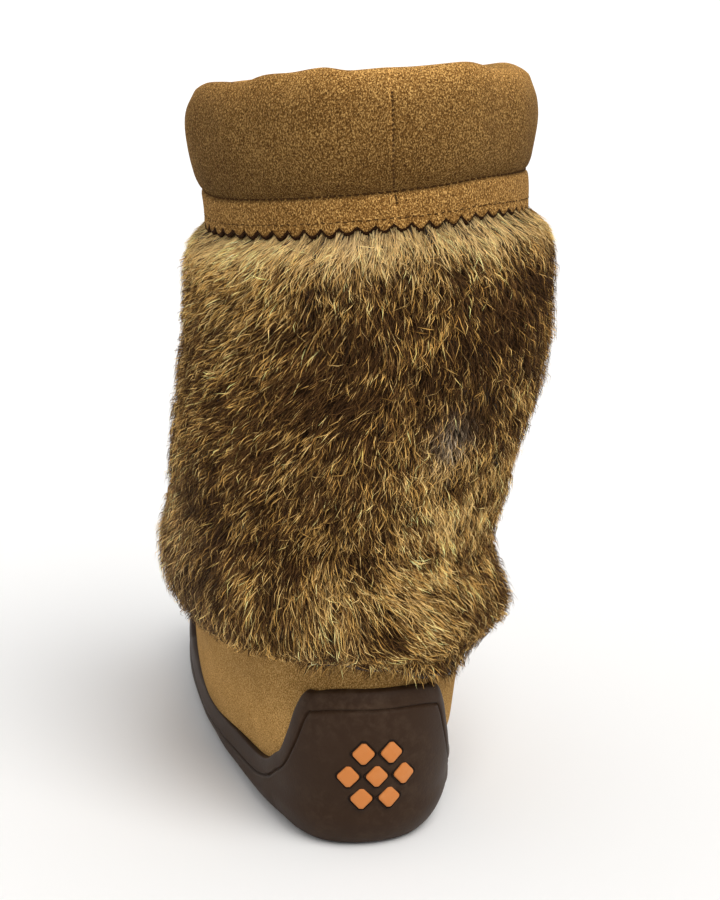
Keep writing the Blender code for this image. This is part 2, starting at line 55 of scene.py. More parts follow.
toe_drift = 0.002
upper_height = 0.305
ankle_dip = 0.0075
shaft_depth = 0.130
shaft_width = 0.122
shaft_lean = 0.008

# Walls, gaps and layers
upper_wall = 0.0025
seat_gap = 0.0003
fur_skin = 0.0018
insole_thickness = 0.004

# Sole
heel_floor = 0.019
sole_wall = 0.005
counter_height = 0.069
toe_guard_height = 0.036
least_panel = 0.006
tread_depth = 0.0025
tread_width = 0.0038
tread_pitch = 0.0135
tread_border = 0.011
chevron_rise = 0.010
tread_softness = 0.0008

# Fur and cuff
fur_depth = 0.016
fur_below_teeth = 0.0013
cuff_roll = 0.0050
tooth_depth = 0.0026
teeth_round = 60

# Heel inlays
lozenge_width = 0.0098
lozenge_height = 0.0106
lozenge_pitch = 0.0114
lozenge_proud = 0.0009
lozenge_centre_height = 0.034

# Apron seam
seam_width = 0.0032
seam_height = 0.0016

# Fullness of the sole and of the suede above it, outer side and inner side: the turn of
# its middle, its reach in turns, how far the sole and the suede stand out, and the rows
# where the suede starts and where it is full.
FULLNESS = ((0.165, 0.045, 0.0022, 0.0042, 0.4, 2.2), (-0.245, 0.055, 0.0030, 0.0050, -0.3, 0.25))

# The feather line. along: share of foot_length from the heel; inner and outer: half
# widths as shares of half ball_width, measured from the drifting centre line.
FEATHER = {
    "along": (0.008, 0.034, 0.09, 0.15, 0.22, 0.34, 0.45, 0.56, 0.67, 0.77, 0.86, 0.93, 0.98),
    "inner": (0.26, 0.47, 0.62, 0.70, 0.755, 0.83, 0.875, 0.89, 0.885, 0.845, 0.755, 0.60, 0.345),
    "outer": (0.26, 0.49, 0.69, 0.80, 0.855, 0.90, 0.94, 0.98, 1.01, 0.99, 0.885, 0.695, 0.38),
}
HEEL_ROUND = 1.46
TOE_ROUND = 1.31

# The sole in side view, as shares of heel_floor against the share of foot_length.
SOLE_SIDE = {
    "along": (0.0, 0.25, 0.35, 0.43, 0.52, 0.65, 0.72, 0.80, 0.90, 1.0),
    "floor": (1.0, 0.97, 0.90, 0.80, 0.70, 0.58, 0.58, 0.66, 0.88, 1.18),
    "ground": (0.0, 0.0, 0.0, 0.07, 0.0, 0.0, 0.0, 0.06, 0.26, 0.56),
}

# The rim of the cup: share of counter_height behind the notch, then plain heights in
# shares of heel_floor along the side, up to the toe guard.
RIM_HEEL = {
    "along": (0.0, 0.02, 0.04, 0.055, 0.066, 0.075, 0.09, 0.12, 0.17),
    "height": (1.0, 0.99, 0.96, 0.93, 0.80, 0.64, 0.48, 0.41, 0.375),
}
RIM_SIDE = {
    "along": (0.17, 0.21, 0.335, 0.46, 0.66, 0.78),
    "height": (1.362, 1.25, 1.02, 0.93, 0.90, 0.98),
}
RIM_TOE = {"along": (0.78, 0.90, 0.96, 1.0), "height": (0.52, 0.80, 0.97, 1.0)}

# Rounding of the notch beside the heel counter: millimetres added to the rim.
RIM_EASED = {
    "along": (0.0, 0.05, 0.062, 0.074, 0.086, 0.107, 0.128, 0.153, 0.19, 0.235, 0.31, 0.43, 0.62, 0.8, 1.0),
    "by": (0.0, 0.6, 2.4, 4.0, 5.0, 4.0, 1.4, -2.0, -3.4, -2.8, -1.2, -0.6, -0.3, 0.0, 0.0),
}

# The border of the cup, square down from the rim: a rounded band, a thin groove, and the
# panel below it. down: millimetres from the rim; out: millimetres outside the upper.
BORDER = {
    "down": (0.0, 0.25, 0.8, 1.6, 3.0, 4.6, 5.8, 6.4, 6.8, 7.05, 7.3, 7.6, 7.9, 8.3, 8.9, 9.6),
    "out": (1.7, 2.7, 3.35, 3.8, 4.35, 4.75, 4.92, 4.88, 4.62, 4.1, 3.9, 4.05, 4.7, 5.1, 5.27, 5.3),
}

# The side of the cup below its band. rise: share of the heel floor's height above the
# ground; out: share of the wall outside the upper.
SIDE_LEVELS = {"rise": (0.0, 0.05, 0.14, 0.42, 0.78, 1.0), "out": (-0.6, -0.22, 0.12, 0.70, 1.0, 1.0)}

# Where the tread has grooves, as shares of foot_length.
TREAD_ZONES = ((0.08, 0.29), (0.55, 0.91))

# Rows of the foot, from the feather line to the ankle seam. back and front give how far
# a row has gone from feather line to ankle seam at the heel and at the toe; rise is the
# same for height; bulge is the share of upper_bulge that it stands outside the line.
FOOT_ROWS = {
    "back": (0.0, 0.10, 0.22, 0.35, 0.48, 0.64, 0.83, 1.0),
    "front": (0.0, -0.022, 0.0, 0.078, 0.243, 0.476, 0.738, 1.0),
    "back_rise": (0.0, 0.15, 0.30, 0.45, 0.585, 0.717, 0.85, 1.0),
    "front_rise": (0.0, 0.127, 0.268, 0.387, 0.486, 0.62, 0.789, 1.0),
    "bulge": (0.0, 0.6, 0.95, 1.0, 0.9, 0.65, 0.3, 0.0),
}

# Rings of the shaft, from the ankle seam to the top edge. back and front: distance from
# the heel in shares of shaft_depth; width: share of half shaft_width; heights above the
# ankle seam as shares of what is left up to upper_height; lean: share of shaft_lean;
# skew: rise for each unit of width towards the outer side.
SHAFT_RINGS = {
    "back": (0.008, -0.008, 0.0, -0.012, -0.019, -0.012, -0.019, -0.027, -0.004),
    "front": (1.208, 1.108, 1.038, 1.0, 0.992, 0.985, 0.992, 1.0, 0.977),
    "width": (0.828, 0.918, 0.918, 0.959, 0.984, 0.992, 1.0, 1.025, 0.992),
    "back_height": (0.0, 0.073, 0.15, 0.332, 0.545, 0.773, 0.841, 0.936, 1.0),
    "front_height": (0.0, 0.114, 0.242, 0.408, 0.564, 0.754, 0.834, 0.919, 0.967),
    "dip": (1.0, 0.45, 0.0, 0.0, 0.0, 0.0, 0.0, 0.0, 0.0),
    "lean": (0.12, -0.5, -0.56, 0.375, 1.0, 0.875, 0.63, 0.375, 0.375),
    "skew": (-0.060, -0.030, 0.0, 0.0075, 0.02625, 0.05625, 0.06375, 0.07125, 0.075),
}
ANKLE_ROW = len(FOOT_ROWS["back"]) - 1
TOP_ROW = ANKLE_ROW + len(SHAFT_RINGS["back"]) - 1
HEM_ROW = TOP_ROW - 3

# Depth of the fur from the ankle seam, 0, to the cuff, 1, as a share of fur_depth.
FUR_DEPTH = {
    "share": (0.0, 0.1, 0.2, 0.38, 0.55, 0.75, 0.9, 1.0),
    "depth": (1.2, 1.2, 1.1, 0.88, 1.0, 1.05, 1.0, 0.9),
}

# Room for the fur under the cuff: millimetres below the edge of the teeth, and
# millimetres of depth.
FUR_UNDER_HEM = {
    "below": (-2.0, 0.0, 1.0, 2.5, 4.5, 7.0, 10.0, 14.0, 19.0),
    "depth": (1.5, 1.8, 3.4, 6.0, 8.8, 11.6, 13.8, 16.0, 40.0),
}

# Lie of the fur, by turn and by share of the shaft's height from the ankle seam: degrees
# that the hairs lean towards the outer side, seen from behind.
FUR_LIE = (
    (-0.20, 0.90, -42), (-0.18, 0.76, -46), (-0.18, 0.59, -38), (-0.16, 0.37, -12), (-0.20, 0.16, -6),
    (-0.11, 0.83, -28), (-0.11, 0.59, -32), (-0.10, 0.41, -14), (-0.14, 0.20, -16), (-0.11, 0.06, -12),
    (-0.07, 0.92, -6), (-0.06, 0.66, -20), (-0.07, 0.20, 8), (-0.05, 0.13, 16), (-0.06, 0.41, -12),
    (-0.01, 0.83, 8), (0.00, 0.59, -15), (0.00, 0.31, 32), (0.013, 0.13, 62), (-0.01, -0.01, -20),
    (0.05, 0.76, -6), (0.05, 0.48, -10), (0.04, 0.23, 52), (0.05, 0.06, 38), (0.04, -0.02, -28),
    (0.12, 0.86, 14), (0.11, 0.60, 0), (0.09, 0.38, -14), (0.12, 0.20, 12), (0.12, 0.03, -18),
    (0.19, 0.80, 10), (0.19, 0.40, -8), (0.20, 0.10, 10),
    (0.27, 0.85, 10), (0.27, 0.45, -12), (0.27, 0.10, 14),
    (0.38, 0.80, -16), (0.38, 0.40, 12), (0.38, 0.10, -8),
    (0.50, 0.85, 6), (0.50, 0.50, -10), (0.50, 0.12, 10),
    (0.62, 0.75, 16), (0.62, 0.35, -12), (0.62, 0.08, 8),
    (0.73, 0.85, -24), (0.73, 0.45, 2), (0.73, 0.10, -8),
)
FUR_LIE_REACH = 0.024

# The shaft's way round and its height from the ankle seam to the cuff, in metres, by
# which distances between places of the fur are measured.
SHAFT_ROUND = 0.45
SHAFT_TALL = 0.17

# Patches of the coat, by turn and by share of the shaft's height: their reach in metres,
# how many more of the hairs are light, and how much greyer they are. Some are the coat's
# own colour; those along the folds are painted shade in the troughs and painted highlight
# on the ridges.
FUR_PATCHES = (
    (-0.16, 0.86, 0.024, 0.12, 0.0), (-0.05, 0.99, 0.012, 0.12, 0.20), (0.06, 0.99, 0.012, 0.12, 0.10),
    (0.14, 0.85, 0.026, -0.30, 0.0), (-0.06, 0.62, 0.020, -0.22, 0.0), (0.035, 0.76, 0.024, -0.24, 0.0),
    (-0.16, 0.60, 0.022, -0.10, 0.0), (-0.16, 0.36, 0.022, -0.18, 0.0), (0.042, 0.56, 0.007, -0.15, 0.80),
    (0.038, 0.52, 0.006, 0.30, 0.50),
    (0.04, 0.38, 0.016, 0.28, 0.0), (0.09, 0.36, 0.024, 0.28, 0.0), (-0.03, 0.40, 0.016, -0.04, 0.0),
    (0.055, 0.43, 0.004, -0.60, 0.0), (0.088, 0.39, 0.004, -0.60, 0.0), (0.070, 0.33, 0.004, -0.55, 0.0),
    (0.072, 0.385, 0.005, 0.40, 0.0), (0.100, 0.345, 0.005, 0.45, 0.0), (0.052, 0.345, 0.004, 0.35, 0.0),
    (0.045, 0.27, 0.005, -0.45, 0.0), (0.085, 0.255, 0.005, -0.50, 0.0), (0.065, 0.22, 0.005, 0.35, 0.0),
    # Painted shade along the crease of the fur, then painted highlight on the ridge below it.
    (-0.15, 0.285, 0.007, -0.35, 0.0), (-0.11, 0.265, 0.007, -0.40, 0.0), (-0.07, 0.25, 0.007, -0.40, 0.0),
    (-0.02, 0.25, 0.007, -0.35, 0.0), (-0.13, 0.18, 0.012, 0.08, 0.0), (-0.04, 0.175, 0.012, 0.34, 0.0),
    (0.03, 0.15, 0.020, 0.32, 0.0), (0.005, 0.09, 0.007, -0.45, 0.0), (-0.18, 0.11, 0.022, -0.16, 0.15),
    (0.10, 0.14, 0.022, 0.04, 0.0), (-0.05, 0.01, 0.014, 0.02, 0.10), (0.06, 0.01, 0.016, 0.06, 0.0),
    (0.28, 0.70, 0.040, 0.12, 0.0), (0.26, 0.25, 0.035, -0.14, 0.0), (0.40, 0.50, 0.040, 0.14, 0.10),
    (0.50, 0.85, 0.035, -0.10, 0.20), (0.55, 0.25, 0.040, 0.16, 0.0), (0.66, 0.60, 0.040, -0.12, 0.0),
    (0.75, 0.25, 0.035, 0.14, 0.20), (0.73, 0.80, 0.035, 0.10, 0.0),
)

# Folds of the fur, by turn and by share of the shaft's height: their reach in metres, and
# the change of the fur's depth as a share of it.
FUR_FOLDS = (
    (-0.165, 0.30, 0.006, -0.26), (-0.135, 0.28, 0.006, -0.30), (-0.105, 0.262, 0.006, -0.34),
    (-0.075, 0.252, 0.006, -0.36), (-0.045, 0.25, 0.006, -0.34), (-0.015, 0.25, 0.006, -0.22),
    (-0.15, 0.17, 0.014, 0.06), (-0.08, 0.16, 0.014, 0.07), (0.005, 0.09, 0.006, -0.25),
    (0.02, 0.17, 0.010, 0.05), (0.055, 0.62, 0.010, -0.08), (-0.05, 0.70, 0.010, -0.06),
    (0.18, 0.040, 0.013, 0.23), (0.225, 0.040, 0.013, 0.23), (0.18, 0.185, 0.011, -0.10),
    (0.225, 0.185, 0.011, -0.10), (0.18, 0.46, 0.018, -0.23), (0.225, 0.45, 0.018, -0.23),
    (0.25, 0.30, 0.010, -0.18), (0.29, 0.28, 0.010, -0.20), (0.34, 0.29, 0.010, -0.18),
    (0.47, 0.22, 0.012, -0.14), (0.53, 0.23, 0.012, -0.16), (0.66, 0.30, 0.010, -0.18),
    (0.71, 0.28, 0.010, -0.18),
)

# Coats of hairs, innermost first: tufts up and round, hairs in a tuft, length and width
# in millimetres, least and most depth of a tip as shares of the fur's depth, the share of
# light hairs, and the coat's tone: painted shade, darker for the inner coats deep in the fur.
FUR_COATS = (
    {"name": "fur_coat_1", "up": 46, "round": 104, "hairs": 4, "length": 9.5, "width": 0.56,
     "depth": (0.66, 0.82), "light": 0.05, "tone": 0.55},
    {"name": "fur_coat_2", "up": 52, "round": 116, "hairs": 6, "length": 9.0, "width": 0.40,
     "depth": (0.74, 0.92), "light": 0.16, "tone": 0.85},
    {"name": "fur_coat_3", "up": 60, "round": 136, "hairs": 6, "length": 9.2, "width": 0.30,
     "depth": (0.82, 1.00), "light": 0.26, "tone": 1.15},
    {"name": "fur_coat_4", "up": 66, "round": 152, "hairs": 6, "length": 8.8, "width": 0.24,
     "depth": (0.88, 1.06), "light": 0.34, "tone": 1.45},
)

# Colours, as light reflected: red, green, blue
LIGHT_HAIRS = ((0.35, 0.178, 0.042), (0.58, 0.340, 0.097), (0.86, 0.585, 0.240))
DARK_HAIRS = ((0.024, 0.0106, 0.0042), (0.072, 0.034, 0.0115), (0.195, 0.099, 0.030))
GREY_HAIRS = ((0.10, 0.080, 0.058), (0.32, 0.26, 0.19), (0.60, 0.52, 0.42))

# Rows of the fine skin to each row of the tables, and its columns round the foot
STEPS = 20
CHART_COLUMNS = 720


def cubic(low, high, low_slope, high_slope, t):
    """Cubic from low to high as t goes from 0 to 1, with a slope given at either end."""
    return (
        low * (1 + 2 * t) * (1 - t) ** 2
        + high * t * t * (3 - 2 * t)
        + low_slope * t * (1 - t) ** 2
        + high_slope * t * t * (t - 1)
    )


def smooth(x, xs, ys):
    """Cubic through the points (xs, ys), with each slope the mean of its neighbours', or
    level where they turn. It stays level beyond the ends."""
    xs, ys, x = (np.asarray(a, float) for a in (xs, ys, x))
    chord = np.diff(ys) / np.diff(xs)
    slope = np.concatenate([chord[:1], (chord[:-1] + chord[1:]) / 2, chord[-1:]])
    slope[1:-1] = np.where(chord[:-1] * chord[1:] <= 0, 0.0, slope[1:-1])
    i = np.clip(np.searchsorted(xs, x, side="right") - 1, 0, len(xs) - 2)
    h = xs[i + 1] - xs[i]
    t = np.clip((x - xs[i]) / h, 0.0, 1.0)
    return cubic(ys[i], ys[i + 1], h * slope[i], h * slope[i + 1], t)


def follow(table, column, place):
    """A table's column at places along its first column, as a smooth curve."""
    return smooth(place, next(iter(table.values())), table[column])


def unit(vectors):
    return vectors / np.linalg.norm(vectors, axis=-1, keepdims=True)


def distances(points, closed=False):
    """Distance travelled to each point of a line, or down the first axis of a grid."""
    if closed:
        points = np.concatenate([points, points[:1]])
    steps = np.linalg.norm(np.diff(points, axis=0), axis=-1)
    return np.concatenate([np.zeros((1, *steps.shape[1:])), np.cumsum(steps, axis=0)])


def ease(t):
    t = np.clip(t, 0.0, 1.0)
    return t * t * (3 - 2 * t)


def bell(distance, reach):
    """1 at the middle, falling off smoothly with the distance."""
    return np.exp(-((distance / reach) ** 2))


def ellipse(along):
    return 2 * np.sqrt(np.clip(along * (1 - along), 0.0, None))


def nearest_turn(turn, place):
    """Signed difference between two turns, the short way round."""
    return np.mod(turn - place + 0.5, 1.0) - 0.5


def bell_round(turn, place, reach):
    """1 at a place round the boot, falling off smoothly with the turns from it."""
    return bell(nearest_turn(turn, place), reach)


def soft_noise(points, size, seed):
    """Noise from -1 to 1: random values on a lattice of a size, blended between corners."""
    place = np.asarray(points, float) / size + seed * 17.31
    cell = np.floor(place).astype(np.int64)
    part = ease(place - cell)
    total = np.zeros(place.shape[:-1])
    for corner in range(8):
        step = np.array([corner & 1, corner >> 1 & 1, corner >> 2 & 1])
        at = cell + step
        mixed = at[..., 0] * 73856093 ^ at[..., 1] * 19349663 ^ at[..., 2] * 83492791 ^ seed * 2654435761
        mixed = (mixed ^ mixed >> 13) * 1274126177 & 0x7FFFFFFF
        value = (mixed ^ mixed >> 16 & 0xFFFF) % 65536 / 32767.5 - 1
        total += value * np.prod(np.where(step, part, 1 - part), axis=-1)
    return total


def feather_half_width(along, side):
    """Half width at a share of the length: a unit ellipse times a smooth roundness."""
    stations = np.array(FEATHER["along"])
    roundness = np.array(FEATHER[side]) / ellipse(stations)
    xs = [0.0, *stations, 1.0]
    ys = [HEEL_ROUND, *roundness, TOE_ROUND]
    return ball_width / 2 * ellipse(along) * smooth(along, xs, ys)


def floor_height(along):
    return heel_floor * follow(SOLE_SIDE, "floor", along)


def ground_height(along):
    return heel_floor * follow(SOLE_SIDE, "ground", along)


def rim_height(along):
    """Top edge of the cup: heel counter, side band, toe guard."""
    heel = counter_height * follow(RIM_HEEL, "height", along)
    side = heel_floor * follow(RIM_SIDE, "height", along)
    toe = toe_guard_height * follow(RIM_TOE, "height", along)
    joined = np.where(along < RIM_SIDE["along"][0], heel, side)
    rim = np.where(along > RIM_TOE["along"][0], toe, joined)
    return rim + follow(RIM_EASED, "by", along) / 1000


def centre_drift(along):
    """How far the sole's centre line has drifted towards the big toe."""
    return -toe_drift * ease((along - 0.5) / 0.45)


def along_foot(turn):
    """Share of foot_length at a turn."""
    return (1 - np.cos(math.tau * turn)) / 2


def feather_line(turn):
    """Points of the upper's bottom edge, x positive on the outer side."""
    along = along_foot(turn)
    outer = np.sin(math.tau * turn) >= 0
    half = np.where(outer, feather_half_width(along, "outer"), -feather_half_width(along, "inner"))
    y = along * foot_length - heel_seat
    return np.stack([half + centre_drift(along), y, floor_height(along) + seat_gap], axis=-1)


def shaft_ring(turn, index):
    """One ring of the shaft: an ellipse tipped to the front and skewed to the outer side."""
    table = {name: column[index] for name, column in SHAFT_RINGS.items()}
    along = along_foot(turn)
    back = table["back"] * shaft_depth
    front = table["front"] * shaft_depth
    x = shaft_width / 2 * table["width"] * np.sin(math.tau * turn)
    back_z = ankle_height + table["back_height"] * (upper_height - ankle_height)
    front_z = instep_height + table["front_height"] * (upper_height - instep_height)
    z = back_z + (front_z - back_z) * along + table["skew"] * x
    z -= ankle_dip * table["dip"] * ellipse(along) ** 2
    y = back + (front - back) * along - heel_seat
    return np.stack([x + shaft_lean * table["lean"], y, z], axis=-1)


def foot_row(turn, index):
    """One row of the foot, between the feather line and the ankle seam."""
    table = {name: column[index] for name, column in FOOT_ROWS.items()}
    toward_toe = ease((along_foot(turn) - 0.30) / 0.60)
    travel = table["back"] + (table["front"] - table["back"]) * toward_toe
    rise = table["back_rise"] + (table["front_rise"] - table["back_rise"]) * toward_toe
    low = feather_line(turn)
    high = shaft_ring(turn, 0)
    outward = np.roll(low, -1, axis=0) - np.roll(low, 1, axis=0)
    outward = np.stack([outward[:, 1], -outward[:, 0]], axis=-1)
    outward = unit(outward)
    points = low.copy()
    points[:, :2] += (high - low)[:, :2] * travel[:, None] + outward * upper_bulge * table["bulge"]
    points[:, 2] += (high - low)[:, 2] * rise
    return points


def make_skin():
    """Fine grid of the upper: cubic curves up every column through the table's rows."""
    turn = np.arange(CHART_COLUMNS) / CHART_COLUMNS
    rows = [foot_row(turn, i) for i in range(ANKLE_ROW)]
    rows += [shaft_ring(turn, i) for i in range(TOP_ROW - ANKLE_ROW + 1)]
    rows = np.array(rows)
    slope = np.gradient(rows, axis=0)
    place = np.arange(TOP_ROW * STEPS + 1) / STEPS
    i = np.clip(place.astype(int), 0, TOP_ROW - 1)
    return cubic(rows[i], rows[i + 1], slope[i], slope[i + 1], (place - i)[:, None, None])


def outward_normals(grid):
    """Unit normals of a grid that closes round: along a row crossed with up a column."""
    round_row = np.roll(grid, -1, axis=1) - np.roll(grid, 1, axis=1)
    return unit(np.cross(round_row, np.gradient(grid, axis=0)))


SKIN = make_skin()
SKIN_NORMAL = outward_normals(SKIN)


def read_grid(grid, row, turn):
    """Values between the points of a grid that closes round the boot."""
    rows, columns = grid.shape[:2]
    row, turn = np.broadcast_arrays(np.asarray(row, float), np.asarray(turn, float))
    row = np.clip(row, 0.0, rows - 1.000001)
    column = np.mod(turn, 1.0) * columns
    i, j = row.astype(int), column.astype(int) % columns
    a, b = (row - i), np.mod(column, 1.0)
    if grid.ndim == 3:
        a, b = a[..., None], b[..., None]
    after = (j + 1) % columns
    low = grid[i, j] * (1 - b) + grid[i, after] * b
    high = grid[i + 1, j] * (1 - b) + grid[i + 1, after] * b
    return low * (1 - a) + high * a


def skin_normal(row, turn):
    return read_grid(SKIN_NORMAL, np.asarray(row, float) * STEPS, turn)


def on_skin(row, turn, out=0.0, up=0.0):
    """Points at rows and turns of the upper, set off along its normals and raised."""
    point = read_grid(SKIN, np.asarray(row, float) * STEPS, turn)
    normal = unit(skin_normal(row, turn))
    point = point + normal * np.broadcast_to(out, point.shape[:-1])[..., None]
    point[..., 2] += up
    return point


def row_at_height(height, turn):
    """Rows at which each column reaches its heights, a grid of levels by columns."""
    place = np.arange(len(SKIN))
    column = read_grid(SKIN[..., 2], place[:, None], turn[None, :])
    return np.stack([np.interp(h, z, place / STEPS) for h, z in zip(height.T, column.T)], axis=1)


def at_height(height, turn, out):
    """Grid of points at heights, set off level outwards from the upper."""
    turn = np.asarray(turn, float)
    row = row_at_height(height, turn)
    base = on_skin(row, turn)
    level = unit(skin_normal(row, turn)[..., :2])
    return np.dstack([base[..., :2] + level * np.asarray(out)[..., None], height])


def column_lengths():
    """Length along each column of the skin, 0 at the ankle seam and negative below it."""
    length = distances(SKIN)
    return length - length[ANKLE_ROW * STEPS]


LENGTHS = column_lengths()
CHART_LOW, CHART_HIGH, CHART_STEP = -0.050, 0.200, 0.001
HEM_LENGTH = LENGTHS[HEM_ROW * STEPS]


def make_row_chart():
    """Rows at equal lengths up each column, so that a hair can be laid out by length."""
    wanted = np.arange(CHART_LOW, CHART_HIGH, CHART_STEP)
    rows = np.arange(len(SKIN)) / STEPS
    return np.stack([np.interp(wanted, column, rows) for column in LENGTHS.T], axis=1)


ROW_CHART = make_row_chart()
PER_TURN = np.linalg.norm(np.roll(SKIN, -1, axis=1) - SKIN, axis=2) * CHART_COLUMNS


def row_at_length(length, turn):
    return read_grid(ROW_CHART, (np.asarray(length) - CHART_LOW) / CHART_STEP, turn)


# How far the cuff's hem hangs below its row, by turn, in millimetres.
CUFF_HEM_DROP = {
    "turn": (
        -0.5, -0.36, -0.27, -0.20, -0.15, -0.105, -0.06, -0.02, 0.03, 0.08, 0.12, 0.18, 0.26, 0.38, 0.5,
    ),
    "drop": (0.3, 0.2, 2.2, 3.6, 3.0, 2.0, 1.0, 0.2, -0.8, -1.9, -1.4, -0.3, 0.6, -0.4, 0.3),
}


def hem_drop(turn):
    return follow(CUFF_HEM_DROP, "drop", nearest_turn(turn, 0.0)) / 1000


def tooth_drop(turn):
    """How far the pinked teeth hang below the hem: soft points, a little uneven."""
    turn = np.asarray(turn)
    share = np.mod(turn * teeth_round, 1.0)
    uneven = 1 + 0.14 * np.sin(math.tau * turn * 7) + 0.08 * np.sin(math.tau * turn * 23)
    return tooth_depth * uneven * np.sin(math.pi * share) ** 1.15


def hem_length(turn):
    """Length of the column from the ankle seam to the cuff's hem."""
    place = np.arange(CHART_COLUMNS + 1) / CHART_COLUMNS
    return np.interp(np.mod(turn, 1.0), place, np.append(HEM_LENGTH, HEM_LENGTH[0])) - hem_drop(turn)


def fur_depth_at(row):
    """Depth of the fur at a row of the shaft."""
    share = (np.asarray(row, float) - ANKLE_ROW) / (HEM_ROW - ANKLE_ROW)
    return fur_depth * follow(FUR_DEPTH, "depth", share)


def room_under_hem(length, turn):
    """Most depth of the fur at a place, so that it stays under the cuff's teeth."""
    below = hem_length(turn) - tooth_drop(turn) - fur_below_teeth - length
    return follow(FUR_UNDER_HEM, "depth", below * 1000) / 1000


# Meshes


def array_mesh(name, points, corners, begins, maps=None):
    """A mesh from whole arrays: its points, the corners of its faces, the place among
    them where each face begins, and the map of the corners."""
    mesh = bpy.data.meshes.new(name)
    mesh.vertices.add(points.size // 3)
    mesh.vertices.foreach_set("co", points.astype(np.float32).ravel())
    mesh.loops.add(corners.size)
    mesh.loops.foreach_set("vertex_index", corners.astype(np.int32).ravel())
    mesh.polygons.add(begins.size)
    mesh.polygons.foreach_set("loop_start", begins.astype(np.int32).ravel())
    if maps is not None:
        layer = mesh.uv_layers.new(name="OFBake")
        layer.uv.foreach_set("vector", maps.astype(np.float32).ravel())
    mesh.update(calc_edges=True)
    return mesh


def paint(mesh, name, colours):
    """Gives every point of a mesh its colour, under a name that a finish reads."""
    attribute = mesh.color_attributes.new(name, "FLOAT_COLOR", "POINT")
    attribute.data.foreach_set("color", colours.astype(np.float32).ravel())


def put_in_scene(name, data):
    thing = bpy.data.objects.new(name, data)
    bpy.context.scene.collection.objects.link(thing)
    return thing


def dress(name, mesh, material, stands_for=()):
    """Puts a mesh on the boot with its finish, and hides the solids it stands for."""
    mesh.shade_smooth()
    mesh.materials.append(material)
    piece = put_in_scene(name, mesh)
    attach(piece, "root")
    if stands_for:
        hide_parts(*stands_for)
    return piece


def add_piece(name, points, faces, material, stands_for=(), maps=None, tone=1.0):
    """Makes a piece from an array of four-sided faces, or from a list of faces of any
    kind. Suede multiplies its colour by the tone, one for each point or one for all."""
    points = np.asarray(points, float).reshape(-1, 3)
    if isinstance(faces, list):
        mesh = bpy.data.meshes.new(name)
        mesh.from_pydata(points, [], faces)
        mesh.update()
    else:
        mesh = array_mesh(name, points, faces, np.arange(0, faces.size, 4), maps)
    paint(mesh, "tone", np.repeat(np.broadcast_to(tone, len(points)), 4))
    return dress(name, mesh, material, stands_for)


def grid_quads(rows, columns, closed=False, start=0):
    """Corner numbers of the faces of a grid that closes round, and their map. A closed
    grid's last row also joins its first."""
    i, j = np.meshgrid(np.arange(rows if closed else rows - 1), np.arange(columns), indexing="ij")
    below, above, after = i * columns, (i + 1) % rows * columns, (j + 1) % columns
    quads = np.stack([below + j, below + after, above + after, above + j], axis=-1) + start
    u = np.stack([j, j + 1, j + 1, j], axis=-1) / columns
    v = np.stack([i, i, i + 1, i + 1], axis=-1) / rows
    return quads.reshape(-1, 4), np.stack([u, v], axis=-1).reshape(-1, 4, 2)


def ring_piece(name, grid, material, stands_for=(), closed=True, tone=1.0):
    """A hollow piece: rows of its grid run up the outside and down the inside."""
    quads, maps = grid_quads(*grid.shape[:2], closed)
    return add_piece(name, grid, quads, material, stands_for, maps, tone)


def across_rings(ring, count):
    """Inner points of a sheet that spans a ring from each column to its mirror twin."""
    n = len(ring)
    half = n // 2
    share = (np.arange(1, count) / count)[:, None, None]
    left, right = ring[-np.arange(1, half) % n], ring[1:half]
    return left + (right - left) * share


def across_quads(n, count, ring_start, inner_start, facing_up):
    """Faces of such a sheet, joined to the ring's own points; the two ends are pinched."""
    half = n // 2
    table = np.empty((count + 1, half + 1), int)
    table[0] = ring_start + (-np.arange(half + 1)) % n
    table[-1] = ring_start + np.arange(half + 1)
    table[1:-1, 1:-1] = inner_start + np.arange((count - 1) * (half - 1)).reshape(count - 1, half - 1)
    table[1:-1, 0] = ring_start
    table[1:-1, -1] = ring_start + half
    a, b, c, d = table[:-1, :-1], table[1:, :-1], table[1:, 1:], table[:-1, 1:]
    order = (a, b, c, d) if facing_up else (d, c, b, a)
    return np.stack(order, axis=-1).reshape(-1, 4)


def unpinched(quads):
    """Faces as they go into a mesh: a pinched corner is left out of its face."""
    return [tuple(dict.fromkeys(quad)) for quad in quads.tolist()]


def capped_piece(name, grid, under, over, material, stands_for):
    """A piece of rings, closed by one sheet across its first ring and one across its
    last. under and over are the inner points of the two sheets."""
    rows, columns = grid.shape[:2]
    under_start = rows * columns
    over_start = under_start + under.size // 3
    faces = unpinched(grid_quads(rows, columns)[0])
    faces += unpinched(across_quads(columns, len(under) + 1, 0, under_start, False))
    faces += unpinched(across_quads(columns, len(over) + 1, (rows - 1) * columns, over_start, True))
    points = np.concatenate([part.reshape(-1, 3) for part in (grid, under, over)])
    return add_piece(name, points, faces, material, stands_for)


# Finishes


